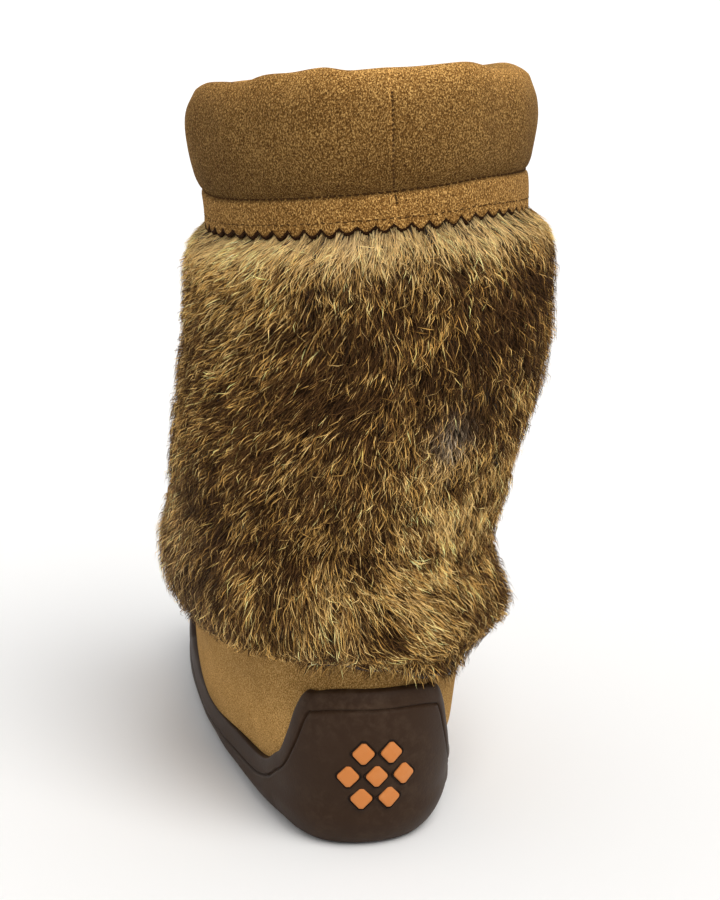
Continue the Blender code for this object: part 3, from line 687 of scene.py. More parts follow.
class Shading:
    """Adds nodes to a material or a group. A socket or a plain value feeds each input."""

    def __init__(self, tree):
        self.tree = tree

    def feed(self, socket, value):
        if hasattr(value, "links"):
            self.tree.links.new(value, socket)
        elif isinstance(value, tuple):
            socket.default_value = (*value, 1.0)[: len(socket.default_value)]
        else:
            socket.default_value = value

    def add(self, kind, inputs, **settings):
        """A node of a kind, with its settings and with its inputs fed."""
        node = self.tree.nodes.new("ShaderNode" + kind)
        for name, value in settings.items():
            setattr(node, name, value)
        for socket, value in inputs.items():
            self.feed(node.inputs[socket], value)
        return node

    def object_place(self):
        return self.add("TexCoord", {}).outputs["Object"]

    def attribute(self, name):
        return self.add("Attribute", {}, attribute_name=name).outputs["Color"]

    def math(self, operation, first, second, clamp=False):
        return self.add("Math", {0: first, 1: second}, operation=operation, use_clamp=clamp).outputs[0]

    def vector_math(self, operation, inputs):
        return self.add("VectorMath", inputs, operation=operation).outputs[0]

    def mix(self, share, first, second):
        """A mix of two colours."""
        return self.add("Mix", {0: share, 6: first, 7: second}, data_type="RGBA").outputs[2]

    def noise(self, place, scale, detail, roughness=0.5, distortion=0.0):
        labels = ("Vector", "Scale", "Detail", "Roughness", "Distortion")
        inputs = dict(zip(labels, (place, scale, detail, roughness, distortion)))
        return self.add("TexNoise", inputs).outputs["Fac"]

    def spread(self, value, low, high):
        """The part of a value between low and high, stretched to 0 to 1."""
        inputs = {"Value": value, "From Min": low, "From Max": high}
        return self.add("MapRange", inputs).outputs["Result"]

    def group(self, tree, **values):
        """Places a group on the object's own coordinates, with values of its own."""
        inputs = {label.replace("_", " "): value for label, value in values.items()}
        return self.add("Group", {"Place": self.object_place(), **inputs}, node_tree=tree).outputs

    def bump(self, sockets, height, strength, distance):
        """Feeds a shader's normal from a height."""
        node = self.add("Bump", {"Strength": strength, "Distance": distance, "Height": height})
        self.feed(sockets["Normal"], node.outputs["Normal"])


def new_material(name, colour, roughness, **constants):
    """A Principled material; returns it with its shading and its shader's inputs."""
    material = bpy.data.materials.new(name)
    material.use_nodes = True
    shading = Shading(material.node_tree)
    sockets = material.node_tree.nodes["Principled BSDF"].inputs
    constants.update(Base_Color=colour, Roughness=roughness)
    for label, value in constants.items():
        shading.feed(sockets[label.replace("_", " ")], value)
    return material, shading, sockets


def new_group(name, inputs, outputs):
    """An empty shader group with named sockets; returns its shading and both ends."""
    group = bpy.data.node_groups.new(name, "ShaderNodeTree")
    for direction, sockets in (("INPUT", inputs), ("OUTPUT", outputs)):
        for label, kind in sockets.items():
            group.interface.new_socket(label, in_out=direction, socket_type="NodeSocket" + kind)
    given, out = group.nodes.new("NodeGroupInput"), group.nodes.new("NodeGroupOutput")
    return Shading(group), given.outputs, out.inputs


def make_nap_group():
    """Suede nap: short upright flecks of fibre over darker hollows, from a place."""
    shading, given, out = new_group(
        "nap",
        {
            "Place": "Vector", "Dark": "Color", "Middle": "Color", "Light": "Color",
            "Fibre Size": "Float", "Contrast": "Float",
        },
        {"Colour": "Color", "Height": "Float"},
    )
    place = shading.vector_math("SCALE", {0: given["Place"], "Scale": given["Fibre Size"]})
    drawn = shading.vector_math("MULTIPLY", {0: place, 1: (1.15, 1.15, 0.75)})
    patches = shading.noise(place, 42.0, 3.0, 0.55, 0.4)
    flecks = shading.math("MULTIPLY", shading.noise(drawn, 1750.0, 1.0), 0.72)
    fine = shading.math("MULTIPLY", shading.noise(drawn, 3400.0, 0.0), 0.28)
    shift = shading.math("MULTIPLY", shading.math("SUBTRACT", patches, 0.5), 0.12)
    height = shading.math("ADD", shading.math("ADD", flecks, fine), shift)
    contrast = given["Contrast"]
    low = shading.math("MULTIPLY", shading.spread(height, 0.48, 0.26), contrast, clamp=True)
    high = shading.math("MULTIPLY", shading.spread(height, 0.50, 0.72), contrast, clamp=True)
    colour = shading.mix(low, given["Middle"], given["Dark"])
    shading.feed(out["Colour"], shading.mix(high, colour, given["Light"]))
    shading.feed(out["Height"], height)
    return shading.tree


def make_grain_group():
    """Fine moulded grain with rubbed and dusty patches, from a place."""
    shading, given, out = new_group(
        "grain",
        {
            "Place": "Vector", "Base": "Color", "Dust": "Color",
            "Dust Amount": "Float", "Grain Scale": "Float", "Roughness": "Float",
        },
        {"Colour": "Color", "Roughness": "Float", "Height": "Float"},
    )
    place = given["Place"]
    cloud = shading.noise(place, 30.0, 4.0, 0.6, 0.5)
    specks = shading.noise(place, 260.0, 3.0, 0.65, 0.3)
    dusty = shading.math("MULTIPLY", shading.spread(cloud, 0.40, 0.70), shading.spread(specks, 0.42, 0.68))
    dusty = shading.math("MULTIPLY", dusty, given["Dust Amount"], clamp=True)
    rough = shading.math("ADD", given["Roughness"], shading.math("MULTIPLY", cloud, 0.12))
    rough = shading.math("ADD", rough, shading.math("MULTIPLY", dusty, 0.5), clamp=True)
    shading.feed(out["Colour"], shading.mix(dusty, given["Base"], given["Dust"]))
    shading.feed(out["Roughness"], rough)
    shading.feed(out["Height"], shading.noise(place, given["Grain Scale"], 3.0))
    return shading.tree


NAP = make_nap_group()
GRAIN = make_grain_group()


def suede(name, dark, middle, light, fibre_size=1.0, contrast=1.0, bump=0.7):
    """Napped suede: its flecks and hollows in three tones, times the tone of its points,
    which carries painted light and shade on the cuff.
    """
    material, shading, sockets = new_material(
        name, middle, 0.95, Sheen_Weight=0.04, Sheen_Roughness=0.5, Sheen_Tint=(1.0, 0.72, 0.42),
        Specular_IOR_Level=0.04,
    )
    nap = shading.group(NAP, Dark=dark, Middle=middle, Light=light, Fibre_Size=fibre_size, Contrast=contrast)
    toned = shading.vector_math("MULTIPLY", {0: nap["Colour"], 1: shading.attribute("tone")})
    shading.feed(sockets["Base Color"], toned)
    shading.bump(sockets, nap["Height"], bump, 0.0014)
    return material


def moulded(name, base, dust, amount, roughness, grain_scale=900.0):
    """Moulded rubber with fine grain and dust."""
    material, shading, sockets = new_material(name, base, roughness, Specular_IOR_Level=0.14)
    grain = shading.group(
        GRAIN, Base=base, Dust=dust, Dust_Amount=amount, Grain_Scale=grain_scale, Roughness=roughness
    )
    shading.feed(sockets["Base Color"], grain["Colour"])
    shading.feed(sockets["Roughness"], grain["Roughness"])
    shading.bump(sockets, grain["Height"], 0.30, 0.0003)
    return material


def hair_material(name):
    """Hairs take their colour from their own attribute."""
    material, shading, sockets = new_material(name, LIGHT_HAIRS[0], 0.75, Specular_IOR_Level=0.06)
    shading.feed(sockets["Base Color"], shading.attribute("hair_colour"))
    return material


def felt(name, dark, light, scale):
    """Matt felt or pile: two colours mixed by clumps of fibres."""
    material, shading, sockets = new_material(name, light, 0.97, Sheen_Weight=0.3)
    clumps = shading.noise(shading.object_place(), scale, 4.0, 0.65, 0.8)
    shading.feed(sockets["Base Color"], shading.mix(shading.spread(clumps, 0.34, 0.66), dark, light))
    shading.bump(sockets, clumps, 0.8, 0.0012)
    return material


CUFF_SUEDE = suede(
    "cuff_suede_tan", (0.060, 0.025, 0.0060), (0.190, 0.091, 0.0225), (0.60, 0.355, 0.115), 1.0, 1.35, 1.0
)
FOOT_SUEDE = suede(
    "foot_suede_tan", (0.165, 0.083, 0.022), (0.325, 0.176, 0.050), (0.60, 0.365, 0.130), 1.2, 1.6, 0.7
)
# The cut edge's dark colour is partly painted shade under the cuff's teeth.
CUT_EDGE = suede("cut_edge_brown", (0.010, 0.004, 0.002), (0.026, 0.011, 0.005), (0.070, 0.030, 0.012))
THREAD = suede("thread_brown", (0.040, 0.017, 0.005), (0.070, 0.032, 0.010), (0.15, 0.075, 0.026), 2.0)
SOLE_RUBBER = moulded("sole_brown", (0.0315, 0.0150, 0.0066), (0.15, 0.100, 0.064), 0.20, 0.48)
LIP_RUBBER = moulded("lip_brown", (0.012, 0.006, 0.003), (0.05, 0.032, 0.022), 0.15, 0.50)
INLAY_RUBBER = moulded("inlay_orange", (0.56, 0.195, 0.050), (0.60, 0.33, 0.16), 0.22, 0.40, 1200.0)
FOOTBED_FELT = felt("footbed_felt", (0.22, 0.15, 0.085), (0.42, 0.32, 0.20), 240.0)
LINING_PILE = felt("lining_pile", (0.30, 0.22, 0.13), (0.62, 0.50, 0.34), 190.0)
UNDERCOAT = felt("undercoat_brown", (0.010, 0.006, 0.003), (0.050, 0.028, 0.012), 300.0)
HAIR = hair_material("agouti_hair")


# Sole


def worn_down(heights, place, reach):
    """A line kept a constant distance below the rim, measured square to the rim."""
    total = place[-1]
    fine = np.linspace(-reach, reach, 33)
    where = np.mod(place[:-1, None] + fine, total)
    found = np.interp(where, place, np.append(heights, heights[0]))
    return (found - np.sqrt(np.clip(reach**2 - fine**2, 0.0, None))).min(axis=1)


def evenly_round(columns, line):
    """Turns that part a closed line into equal lengths; line gives points for turns."""
    fine = np.arange(6001) / 6000
    length = distances(line(fine[:-1]), closed=True)
    return np.interp(np.arange(columns) / columns * length[-1], length, fine)


def rim_line(turn):
    return at_height(rim_height(along_foot(turn))[None], turn, 0.003)[0]


def foot_share(points):
    """Share of foot_length at which points lie."""
    return (points[..., 1] + heel_seat) / foot_length


def tread_rise(points):
    """Height of the tread above the ground: chevron grooves with soft walls."""
    share = foot_share(points)
    left = centre_drift(share) - feather_half_width(share, "inner") + tread_border
    right = centre_drift(share) + feather_half_width(share, "outer") - tread_border
    middle, half = (left + right) / 2, np.maximum((right - left) / 2, 0.001)
    aside = np.abs(points[..., 0] - middle)
    tip = points[..., 1] + chevron_rise * aside / half
    beside = np.abs(np.mod(tip, tread_pitch) - tread_pitch / 2)
    number = (np.floor(tip / tread_pitch) + 0.5) * tread_pitch
    zone = (number + heel_seat) / foot_length
    grooved = np.any([(zone > low) & (zone < high) for low, high in TREAD_ZONES], axis=0)
    groove = 1 - ease((beside - tread_width / 2) / tread_softness + 0.5)
    ends = 1 - ease((aside - half) / tread_softness + 0.5)
    return tread_depth * groove * ends * grooved


def make_cup_sole():
    """Cup sole: border rows kept square to the rim, a rounded side, a grooved tread, and
    the inside of the cup down to its floor."""
    columns, tread_rows, floor_rows = 540, 64, 12
    least_step = 0.00002
    turn = evenly_round(columns, rim_line)
    along = along_foot(turn)
    ground, rim, floor = ground_height(along), rim_height(along), floor_height(along)
    place = distances(on_skin(1.0, turn), closed=True)
    down = np.array(BORDER["down"]) / 1000
    fine_down = np.unique(np.concatenate([down, (down[1:] + down[:-1]) / 2]))
    border = [worn_down(rim, place, max(d, 1e-5)) for d in fine_down]
    border_out = smooth(fine_down, down, np.array(BORDER["out"]) / 1000)
    panel = np.maximum(border[-1], ground + least_panel)
    side = panel - ground
    rise = np.linspace(0.0, 1.0, 22)[:-1, None] ** 1.25
    reached = rise / (np.minimum(side, heel_floor) / side)
    levels = list(zip(ground + rise * side, (seat_gap + sole_wall) * follow(SIDE_LEVELS, "out", reached)))
    level = panel
    for height, out in zip(border[::-1], border_out[::-1]):
        level = np.maximum(level + least_step, height)
        levels.append((level, out))
    lip = level + 0.0001
    deep = level - 0.004
    inside = [(lip, 0.0010), (lip, 0.0005), (level - 0.0004, seat_gap), (deep, seat_gap)]
    for share in (0.35, 0.7, 1.0):
        inside.append((deep * (1 - share) + (floor + seat_gap) * share, seat_gap))
    heights = np.array([height for height, _ in levels + inside])
    outs = np.array([np.broadcast_to(out, columns) for _, out in levels + inside])
    flare = sum(full * bell_round(turn, middle, reach) for middle, reach, full, *_ in FULLNESS)
    outs[: len(levels)] += (flare * ease((heights - ground) / 0.012))[: len(levels)]
    grid = at_height(heights, turn, outs)
    grid[-1, :, 2] = floor
    under = across_rings(grid[0], tread_rows)
    under[..., 2] = ground_height(foot_share(under)) + tread_rise(under)
    over = across_rings(grid[-1], floor_rows)
    capped_piece("cup_sole", grid, under, over, SOLE_RUBBER, ["outsole"])


def counter_point(across, height):
    """Point on the outside of the heel counter, and its outward direction."""
    turn = np.linspace(-0.12, 0.12, 241)
    ring = at_height(np.full((1, len(turn)), height), turn, seat_gap + sole_wall)[0]
    x, y = ring[:, 0], ring[:, 1]
    depth = np.interp(across, x, y)
    step = lozenge_width / 2
    slope = (np.interp(across + step, x, y) - np.interp(across - step, x, y)) / (2 * step)
    direction = np.array([slope, -1.0, 0.0])
    return np.array([across, depth, height]), direction / np.linalg.norm(direction)


def lozenge_ring(corners, grow):
    """A lozenge of rounded corners, its half sizes grown by a length: a blend of a
    diamond and a circle, drawn by angle."""
    angle = math.tau * (np.arange(corners) + 0.5) / corners
    half_width, half_height = lozenge_width / 2 + grow, lozenge_height / 2 + grow
    cosine, sine = np.cos(angle), np.sin(angle)
    diamond = 1 / (np.abs(cosine) / half_width + np.abs(sine) / half_height)
    rounded = np.minimum(diamond, min(half_width, half_height) * 0.90)
    return np.stack([cosine * rounded, sine * rounded], axis=-1)


def lozenge_rings(profile, corners, point, direction):
    """Rings of a lozenge that faces a direction from a point. The profile gives for each
    ring how far it is grown and how far out it stands."""
    sideways = np.array([-direction[1], direction[0], 0.0])
    upright = np.array([0.0, 0.0, 1.0])
    rings = [(lozenge_ring(corners, grow), out) for grow, out in profile]
    return np.array([
        point + ring[:, :1] * sideways + ring[:, 1:] * upright + direction * out for ring, out in rings
    ])


def make_lozenges():
    """Orange inlays: domed lozenges, each in a thin raised lip of the counter."""
    corners = 48
    crown = lozenge_proud + 0.0001
    inlay = ((0.0, -0.0016), (0.0, 0.0002), (-0.0001, 0.0006), (-0.0005, lozenge_proud), (-0.0016, crown))
    lip = (
        (0.0014, -0.0008), (0.0012, 0.0), (0.0010, 0.00022),
        (0.0007, 0.00022), (0.0004, 0.0), (0.00035, -0.0010),
    )
    places = [
        ((column - (count - 1) / 2) * lozenge_pitch, lozenge_centre_height + (1 - row) * lozenge_pitch * 0.87)
        for row, count in enumerate((2, 3, 2))
        for column in range(count)
    ]
    quads, _ = grid_quads(len(inlay), corners)
    last = (len(inlay) - 1) * corners
    faces = unpinched(quads)
    faces += [(last + j, last + (j + 1) % corners, last + corners) for j in range(corners)]
    faces.append(tuple(range(corners))[::-1])
    lip_points, lip_quads = [], []
    for k, (across, height) in enumerate(places, start=1):
        point, direction = counter_point(across, height)
        body = lozenge_rings(inlay, corners, point, direction).reshape(-1, 3)
        points = np.concatenate([body, (point + direction * crown)[None]])
        add_piece(f"inlay_{k}", points, faces, INLAY_RUBBER, [f"heel_lozenge_{k}"])
        lip_quads.append(grid_quads(len(lip), corners, start=len(lip_points) * len(lip) * corners)[0])
        lip_points.append(lozenge_rings(lip, corners, point, direction))
    add_piece("inlay_lips", lip_points, np.concatenate(lip_quads), LIP_RUBBER)


def make_footbed():
    """Felt footbed: a sheet over the floor of the cup, drawn in at its upper edge."""
    columns, across = 240, 28
    turn = np.arange(columns) / columns
    floor = floor_height(along_foot(turn))
    inset = upper_wall + seat_gap
    layers = (
        (inset, floor + seat_gap),
        (inset, floor + insole_thickness * 0.7),
        (inset + 0.0015, floor + seat_gap + insole_thickness),
    )
    rings = np.array([on_skin(0.0, turn, -inward) for inward, _ in layers])
    rings[..., 2] = [height for _, height in layers]
    under, over = across_rings(rings[0], across), across_rings(rings[-1], across)
    capped_piece("footbed", rings, under, over, FOOTBED_FELT, ["insole"])


# Upper


def creases(row, turn):
    """Soft troughs and ridges of the suede foot, in metres outwards."""
    marks = (
        (0.90, 5.6, 0.030, 0.7, -0.0008), (0.86, 4.4, 0.025, 0.6, 0.0006), (0.11, 5.4, 0.030, 0.7, -0.0007),
        (0.17, 5.9, 0.025, 0.5, -0.0010), (0.83, 5.9, 0.025, 0.5, -0.0010), (0.24, 5.0, 0.030, 0.8, 0.0007),
        (0.76, 5.0, 0.030, 0.8, 0.0007), (0.36, 6.2, 0.030, 0.35, -0.0012), (0.64, 6.2, 0.030, 0.35, -0.0012),
        (0.50, 6.5, 0.060, 0.25, -0.0010), (0.50, 5.9, 0.050, 0.30, 0.0008),
    )
    total = np.zeros(np.broadcast(row, turn).shape)
    for at_turn, at_row, wide, tall, depth in marks:
        total += depth * bell_round(turn, at_turn, wide) * bell(row - at_row, tall)
    for middle, reach, _, full, start, end in FULLNESS:
        rise = ease((row - start) / (end - start)) * ease((7.2 - row) / 2.0)
        total += full * bell_round(turn, middle, reach * 1.2) * rise
    return total


def make_suede_upper():
    """Suede foot and shaft: outside with soft creases, top edge, and the pile lining."""
    columns = 360
    turn = (np.arange(columns) / columns)[None]
    foot, shaft = np.arange(0, ANKLE_ROW + 1, 0.125), np.arange(ANKLE_ROW + 1.5, TOP_ROW + 0.1, 0.5)
    outside = np.concatenate([foot, shaft])[:, None]
    skin = on_skin(outside, turn, creases(outside, turn))
    waves = soft_noise(skin, 0.011, 3) * 0.00018
    skin += outward_normals(skin) * waves[..., None] * (outside > 0.5)[..., None]
    lining = on_skin(np.arange(TOP_ROW, -0.01, -0.5)[:, None], turn, -upper_wall)
    tone = np.ones((len(skin) + len(lining), columns))
    tone[: len(skin)] += 0.25 * bell(outside - 1.9, 1.6) + 0.06 * soft_noise(skin, 0.02, 4)
    grid = np.concatenate([skin, lining])
    ring_piece("suede_upper", grid, FOOT_SUEDE, ["upper"], tone=tone.ravel())
    pile = np.arange(TOP_ROW - 0.6, 0.9, -0.25)[:, None]
    turn = turn[:, ::2]
    fluff = soft_noise(on_skin(pile, turn), 0.006, 5) * 0.0006
    inner = on_skin(pile, turn, -upper_wall - 0.0012 + fluff)
    ring_piece("lining_pile", inner[:, ::-1], LINING_PILE, closed=False)


def stitches(name, places, normals, radius):
    """Stitches: each a short tube whose ends dive into the piece. places are the two
    ends of each stitch."""
    sides = 6
    start, end = places
    share = np.array([0.0, 0.12, 0.5, 0.88, 1.0])
    lift = np.array([-1.2, 0.35, 0.8, 0.35, -1.2]) * radius
    size = np.array([0.75, 1.0, 1.05, 1.0, 0.75]) * radius
    along = end - start
    side = unit(np.cross(unit(along), normals))
    middle = start[:, None] + along[:, None] * share[:, None] + normals[:, None] * lift[:, None]
    angle = math.tau * np.arange(sides) / sides
    ring = side[:, None, None] * np.cos(angle)[:, None] + normals[:, None, None] * np.sin(angle)[:, None]
    points = middle[:, :, None] + ring * size[:, None, None]
    quads, _ = grid_quads(len(share), sides)
    each = len(share) * sides
    quads = quads[None] + np.arange(len(start))[:, None, None] * each
    add_piece(name, points, quads, THREAD)


# The apron seam's row at each turn: low at the toe, climbing to the ankle at both ends.
APRON = {"from": 0.60, "row": 3.35, "climb": 3.1, "power": 1.3}
APRON_HALF_TURN = 0.5 - math.acos(1 - 2 * APRON["from"]) / (math.tau)
APRON_TURNS = (0.5 - APRON_HALF_TURN, 0.5 + APRON_HALF_TURN)


def apron_row(turn):
    aside = np.abs(np.asarray(turn) - 0.5) / APRON_HALF_TURN
    return APRON["row"] + APRON["climb"] * ease(aside) ** APRON["power"]


def apron_stitches(name, shift):
    """A line of stitches beside the apron seam, shifted from it by a share of a row."""
    pitch, length, out = 0.0036, 0.0025, 0.0001
    fine = np.linspace(*APRON_TURNS, 2400)
    run = distances(on_skin(apron_row(fine) + shift, fine, out))
    starts = np.arange(pitch / 2, run[-1] - length, pitch)
    first, last = np.interp(starts, run, fine), np.interp(starts + length, run, fine)
    middle = (first + last) / 2
    ends = [on_skin(apron_row(turn) + shift, turn, out) for turn in (first, last)]
    stitches(name, ends, skin_normal(apron_row(middle) + shift, middle), 0.00035)


def make_apron_seam():
    """Rolled seam round the plug of the vamp, puckered between its stitches: a half round
    on a narrow base, tapered at both ends."""
    length, sides = 640, 14
    turn = np.linspace(*APRON_TURNS, length)
    centre = on_skin(apron_row(turn), turn, seat_gap)
    normal = skin_normal(apron_row(turn), turn)
    side = np.cross(normal, unit(np.gradient(centre, axis=0)))
    travelled = distances(centre)
    pucker = 1 + 0.16 * np.cos(math.tau * travelled / 0.0042)
    taper = ease(np.minimum(travelled, travelled[-1] - travelled) / 0.004) * 0.8 + 0.2
    angle = math.pi * np.arange(sides) / (sides - 1)
    arch = side[:, None] * np.cos(angle)[:, None] * (seam_width / 2 * taper)[:, None, None]
    arch = arch + normal[:, None] * np.sin(angle)[:, None] * (seam_height * pucker * taper)[:, None, None]
    base = centre[:, None] + side[:, None] * np.array([-0.3, 0.3])[:, None] * seam_width
    grid = np.concatenate([centre[:, None] + arch, base - normal[:, None] * 0.0002], axis=1)
    each = sides + 2
    quads, _ = grid_quads(length, each)
    caps = [tuple(range((length - 1) * each, length * each)), tuple(range(each))[::-1]]
    add_piece("apron_roll", grid, unpinched(quads[:, ::-1]) + caps, FOOT_SUEDE, ["apron_seam"])
    for number, shift in enumerate((-0.30, 0.30), start=1):
        apron_stitches(f"apron_stitches_{number}", shift)


# Cuff

# The cuff's section, from the hem up the outside, over the roll and down the inside.
# row: rows above the hem row; out: millimetres along the normal; up: share of cuff_roll.
CUFF_SECTION = {
    "at": (0.0, 0.4, 0.7, 1.0, 1.45, 2.0, 2.6, 3.1, 3.5, 3.8, 4.1, 4.4, 4.8, 5.4, 6.2, 6.5, 6.6),
    "row": (0.0, 0.30, 0.58, 0.78, 1.15, 1.65, 2.2, 2.7, 3.0, 3.0, 3.0, 3.0, 3.0, 2.7, 1.95, 1.8, 1.8),
    "out": (4.1, 4.15, 4.1, 3.75, 6.3, 8.1, 8.3, 7.4, 5.6, 2.6, -1.0, -4.1, -5.8, -5.8, -5.6, -4.7, -2.9),
    "up": (0.0, 0.0, 0.0, 0.0, 0.0, 0.0, 0.0, 0.10, 0.45, 0.92, 1.0, 0.72, 0.0, 0.0, 0.0, 0.0, 0.0),
}
WAIST_AT = 1.0
HEM_STITCH_AT = 0.10
GATHERS_ROUND = 138
BACK_SEAM_TURN = -0.0135

# Soft troughs and ridges of the cuff: turn, place along its section, width in turns,
# height along the section, and depth in millimetres.
CUFF_FOLDS = (
    (-0.050, 2.3, 0.022, 0.9, -0.9), (-0.085, 2.7, 0.022, 0.8, 0.8), (-0.145, 2.2, 0.025, 0.9, -0.9),
    (0.062, 2.4, 0.022, 0.9, 0.7), (0.095, 2.0, 0.018, 0.8, -0.9), (0.130, 2.7, 0.025, 0.9, 0.9),
    (0.185, 2.3, 0.022, 0.9, -1.0), (0.235, 2.4, 0.025, 0.9, 0.8), (0.300, 2.1, 0.025, 0.9, -1.1),
    (0.365, 2.5, 0.030, 0.9, 0.8), (0.430, 2.2, 0.022, 0.8, -0.9), (0.495, 2.6, 0.030, 0.9, 0.9),
    (0.560, 2.1, 0.024, 0.9, -1.0), (0.625, 2.5, 0.028, 0.9, 0.8), (0.690, 2.2, 0.024, 0.8, -1.0),
    (0.760, 2.5, 0.026, 0.9, 0.9), (0.810, 2.1, 0.020, 0.8, -0.8),
)

# Rise of the cuff's top edge above its even line: turn and millimetres.
CUFF_TOP_RISE = {
    "turn": (
        -0.5, -0.38, -0.30, -0.24, -0.20, -0.165, -0.14, -0.105, -0.077, -0.049,
        -0.02, 0.003, 0.04, 0.07, 0.10, 0.15, 0.20, 0.28, 0.40, 0.5,
    ),
    "rise": (
        0.3, -0.8, -1.0, -1.0, -1.4, -1.6, 0.7, 1.7, 2.4, 0.7,
        1.0, 0.9, 1.2, 0.7, -2.0, -2.3, -1.6, 0.5, -0.6, 0.3,
    ),
}

# Section of the dark edge under the teeth, a cut edge whose dark colour is partly painted
# shade under the teeth: millimetres above their tips and outwards.
CUT_EDGE_SECTION = ((0.8, 3.9), (-0.5, 3.95), (-1.1, 3.8), (-1.5, 3.2), (-1.5, 2.4), (0.8, 2.15))

# Painted light of the cuff along its section: a painted highlight on the hem band and on
# the roll of the top edge, and painted shade in the fold between them.
CUFF_PAINTED_LIGHT = {
    "at": (0.0, 0.5, 0.85, 1.02, 1.15, 1.6, 2.1, 2.7, 3.3, 3.7, 4.1, 4.6, 6.6),
    "tone": (1.40, 1.46, 1.40, 0.80, 0.64, 0.72, 0.87, 1.04, 1.65, 2.25, 2.25, 1.5, 1.0),
}


def hem_fullness(turn):
    """How much further out the hem band stands on the inner side."""
    return 0.0022 * bell_round(turn, -0.235, 0.085)


def section_along(at):
    row, out, up = (follow(CUFF_SECTION, column, at) for column in ("row", "out", "up"))
    return row, out / 1000, up * cuff_roll


def teeth_share(at):
    """How much of the teeth's drop is left at a place along the section."""
    return 1 - ease(at / 0.26)


def cuff_points(at, turn):
    """Points of the cuff at places along its section and turns: the section with its
    folds, stitched lines, back seam, uneven top and pinked hem."""
    at, turn = np.broadcast_arrays(np.asarray(at, float), np.asarray(turn, float))
    row, out, up = section_along(at)
    outside = ease((4.3 - at) / 0.8)
    body = ease((at - WAIST_AT) / 0.5) * outside
    for place, middle, wide, tall, depth in CUFF_FOLDS:
        fold = bell_round(turn, place, wide) * bell(at - middle, tall)
        out = out + depth / 1000 * fold * body
    top = follow(CUFF_TOP_RISE, "rise", nearest_turn(turn, 0.0)) / 1000
    up = up + top * ease((at - 1.6) / 1.6) * ease((5.6 - at) / 0.8)
    out = out + hem_fullness(turn) * ease((2.2 - at) / 1.2)
    out = out - 0.0009 * bell(at - WAIST_AT, 0.10) - 0.0003 * bell(at - HEM_STITCH_AT, 0.05)
    gather = 0.5 + 0.5 * np.cos(math.tau * turn * GATHERS_ROUND)
    out = out - 0.00045 * gather * bell(at - WAIST_AT - 0.12, 0.16) * outside
    seam_turn = BACK_SEAM_TURN + 0.0006 * np.sin(3.1 * at)
    seam = 0.6 * bell_round(turn, seam_turn, 0.0016) - 0.7 * bell_round(turn, seam_turn + 0.004, 0.002)
    out = out - 0.00042 * seam * outside * ease((at - 0.1) / 0.3)
    lap = 0.0005 * ease(nearest_turn(turn, BACK_SEAM_TURN) / -0.002 + 0.5)
    out = out + lap * bell_round(turn, BACK_SEAM_TURN, 0.02) * body
    hang = hem_drop(turn) * (1 - ease((at - 1.1) / 1.8))
    points = on_skin(HEM_ROW + row, turn, out, up - hang)
    points[..., 2] -= tooth_drop(turn) * teeth_share(at)
    return points


def make_cuff():
    """Padded suede cuff with a pinked hem, painted light and shade in its tone, and a dark
    cut edge under its teeth whose colour is partly painted shade.
    """
    columns = 720
    turn = (np.arange(columns) / columns)[None]
    at = np.concatenate([
        np.linspace(0.0, 0.36, 9), np.linspace(0.46, 0.84, 4), np.linspace(0.88, 1.24, 11),
        np.linspace(1.32, 4.4, 30), np.linspace(4.6, 6.2, 6), np.array([6.4, 6.6]),
    ])[:, None]
    grid = cuff_points(at, turn)
    soft = soft_noise(grid, 0.013, 11) * 0.00035 + soft_noise(grid, 0.030, 12) * 0.0007
    soft = soft * ease((at - 1.1) / 0.4) * ease((4.6 - at) / 0.5)
    grid += outward_normals(grid) * soft[..., None]
    inner_face = fur_skin + seat_gap
    lining = -upper_wall - seat_gap
    ring = turn[0]
    hang, tooth = hem_drop(ring), tooth_drop(ring)
    back = (
        (2.0, lining, 0.0), (3.0, lining, seat_gap), (3.0, seat_gap, seat_gap), (2.0, seat_gap, 0.0),
        (1.0, seat_gap, 0.0), (0.5, inner_face, -hang), (0.0, inner_face, -hang - tooth),
    )
    back = np.array([on_skin(HEM_ROW + row, ring, out, up) for row, out, up in back])
    # Tone: the painted light of the section, times painted shade on the inner side round turn -0.19.
    tone = follow(CUFF_PAINTED_LIGHT, "tone", at) * (1 - 0.32 * bell_round(turn, -0.19, 0.08))
    tone = tone * (1 + 0.10 * soft_noise(grid, 0.035, 13))
    # Painted highlight: a thin pale line beside the back seam.
    tone = tone * (1 + 0.35 * bell_round(turn, BACK_SEAM_TURN - 0.0016, 0.0010))
    tone = np.concatenate([tone, np.ones((len(back), columns))]).ravel()
    grid = np.concatenate([grid, back])
    cuff = ring_piece("suede_cuff", grid, CUFF_SUEDE, ["cuff"], tone=tone)
    full = hem_fullness(ring)
    edge = np.array([
        on_skin(HEM_ROW, ring, out / 1000 + full, rise / 1000 - hang - tooth)
        for rise, out in CUT_EDGE_SECTION
    ])
    ring_piece("cuff_cut_edge", edge[::-1], CUT_EDGE)


def cuff_stitch_line(name, at, out_shift, pitch, length, radius):
    """Stitches round the cuff at a place along its section."""
    fine = np.linspace(0.0, 1.0, 4000)
    points = cuff_points(np.full(fine.shape, at), fine)
    points[..., 2] += tooth_drop(fine) * teeth_share(at) * 0.7
    run = distances(points)
    starts = np.linspace(0.0, run[-1], int(run[-1] / pitch) + 1)[:-1]
    row = HEM_ROW + float(section_along(at)[0])
    normals = skin_normal(row, np.interp(starts + length / 2, run, fine))
    ends = []
    for place in (starts, np.mod(starts + length, run[-1])):
        on_line = np.stack([np.interp(place, run, points[:, k]) for k in range(3)], axis=-1)
        ends.append(on_line + normals * out_shift)
    stitches(name, ends, normals, radius)


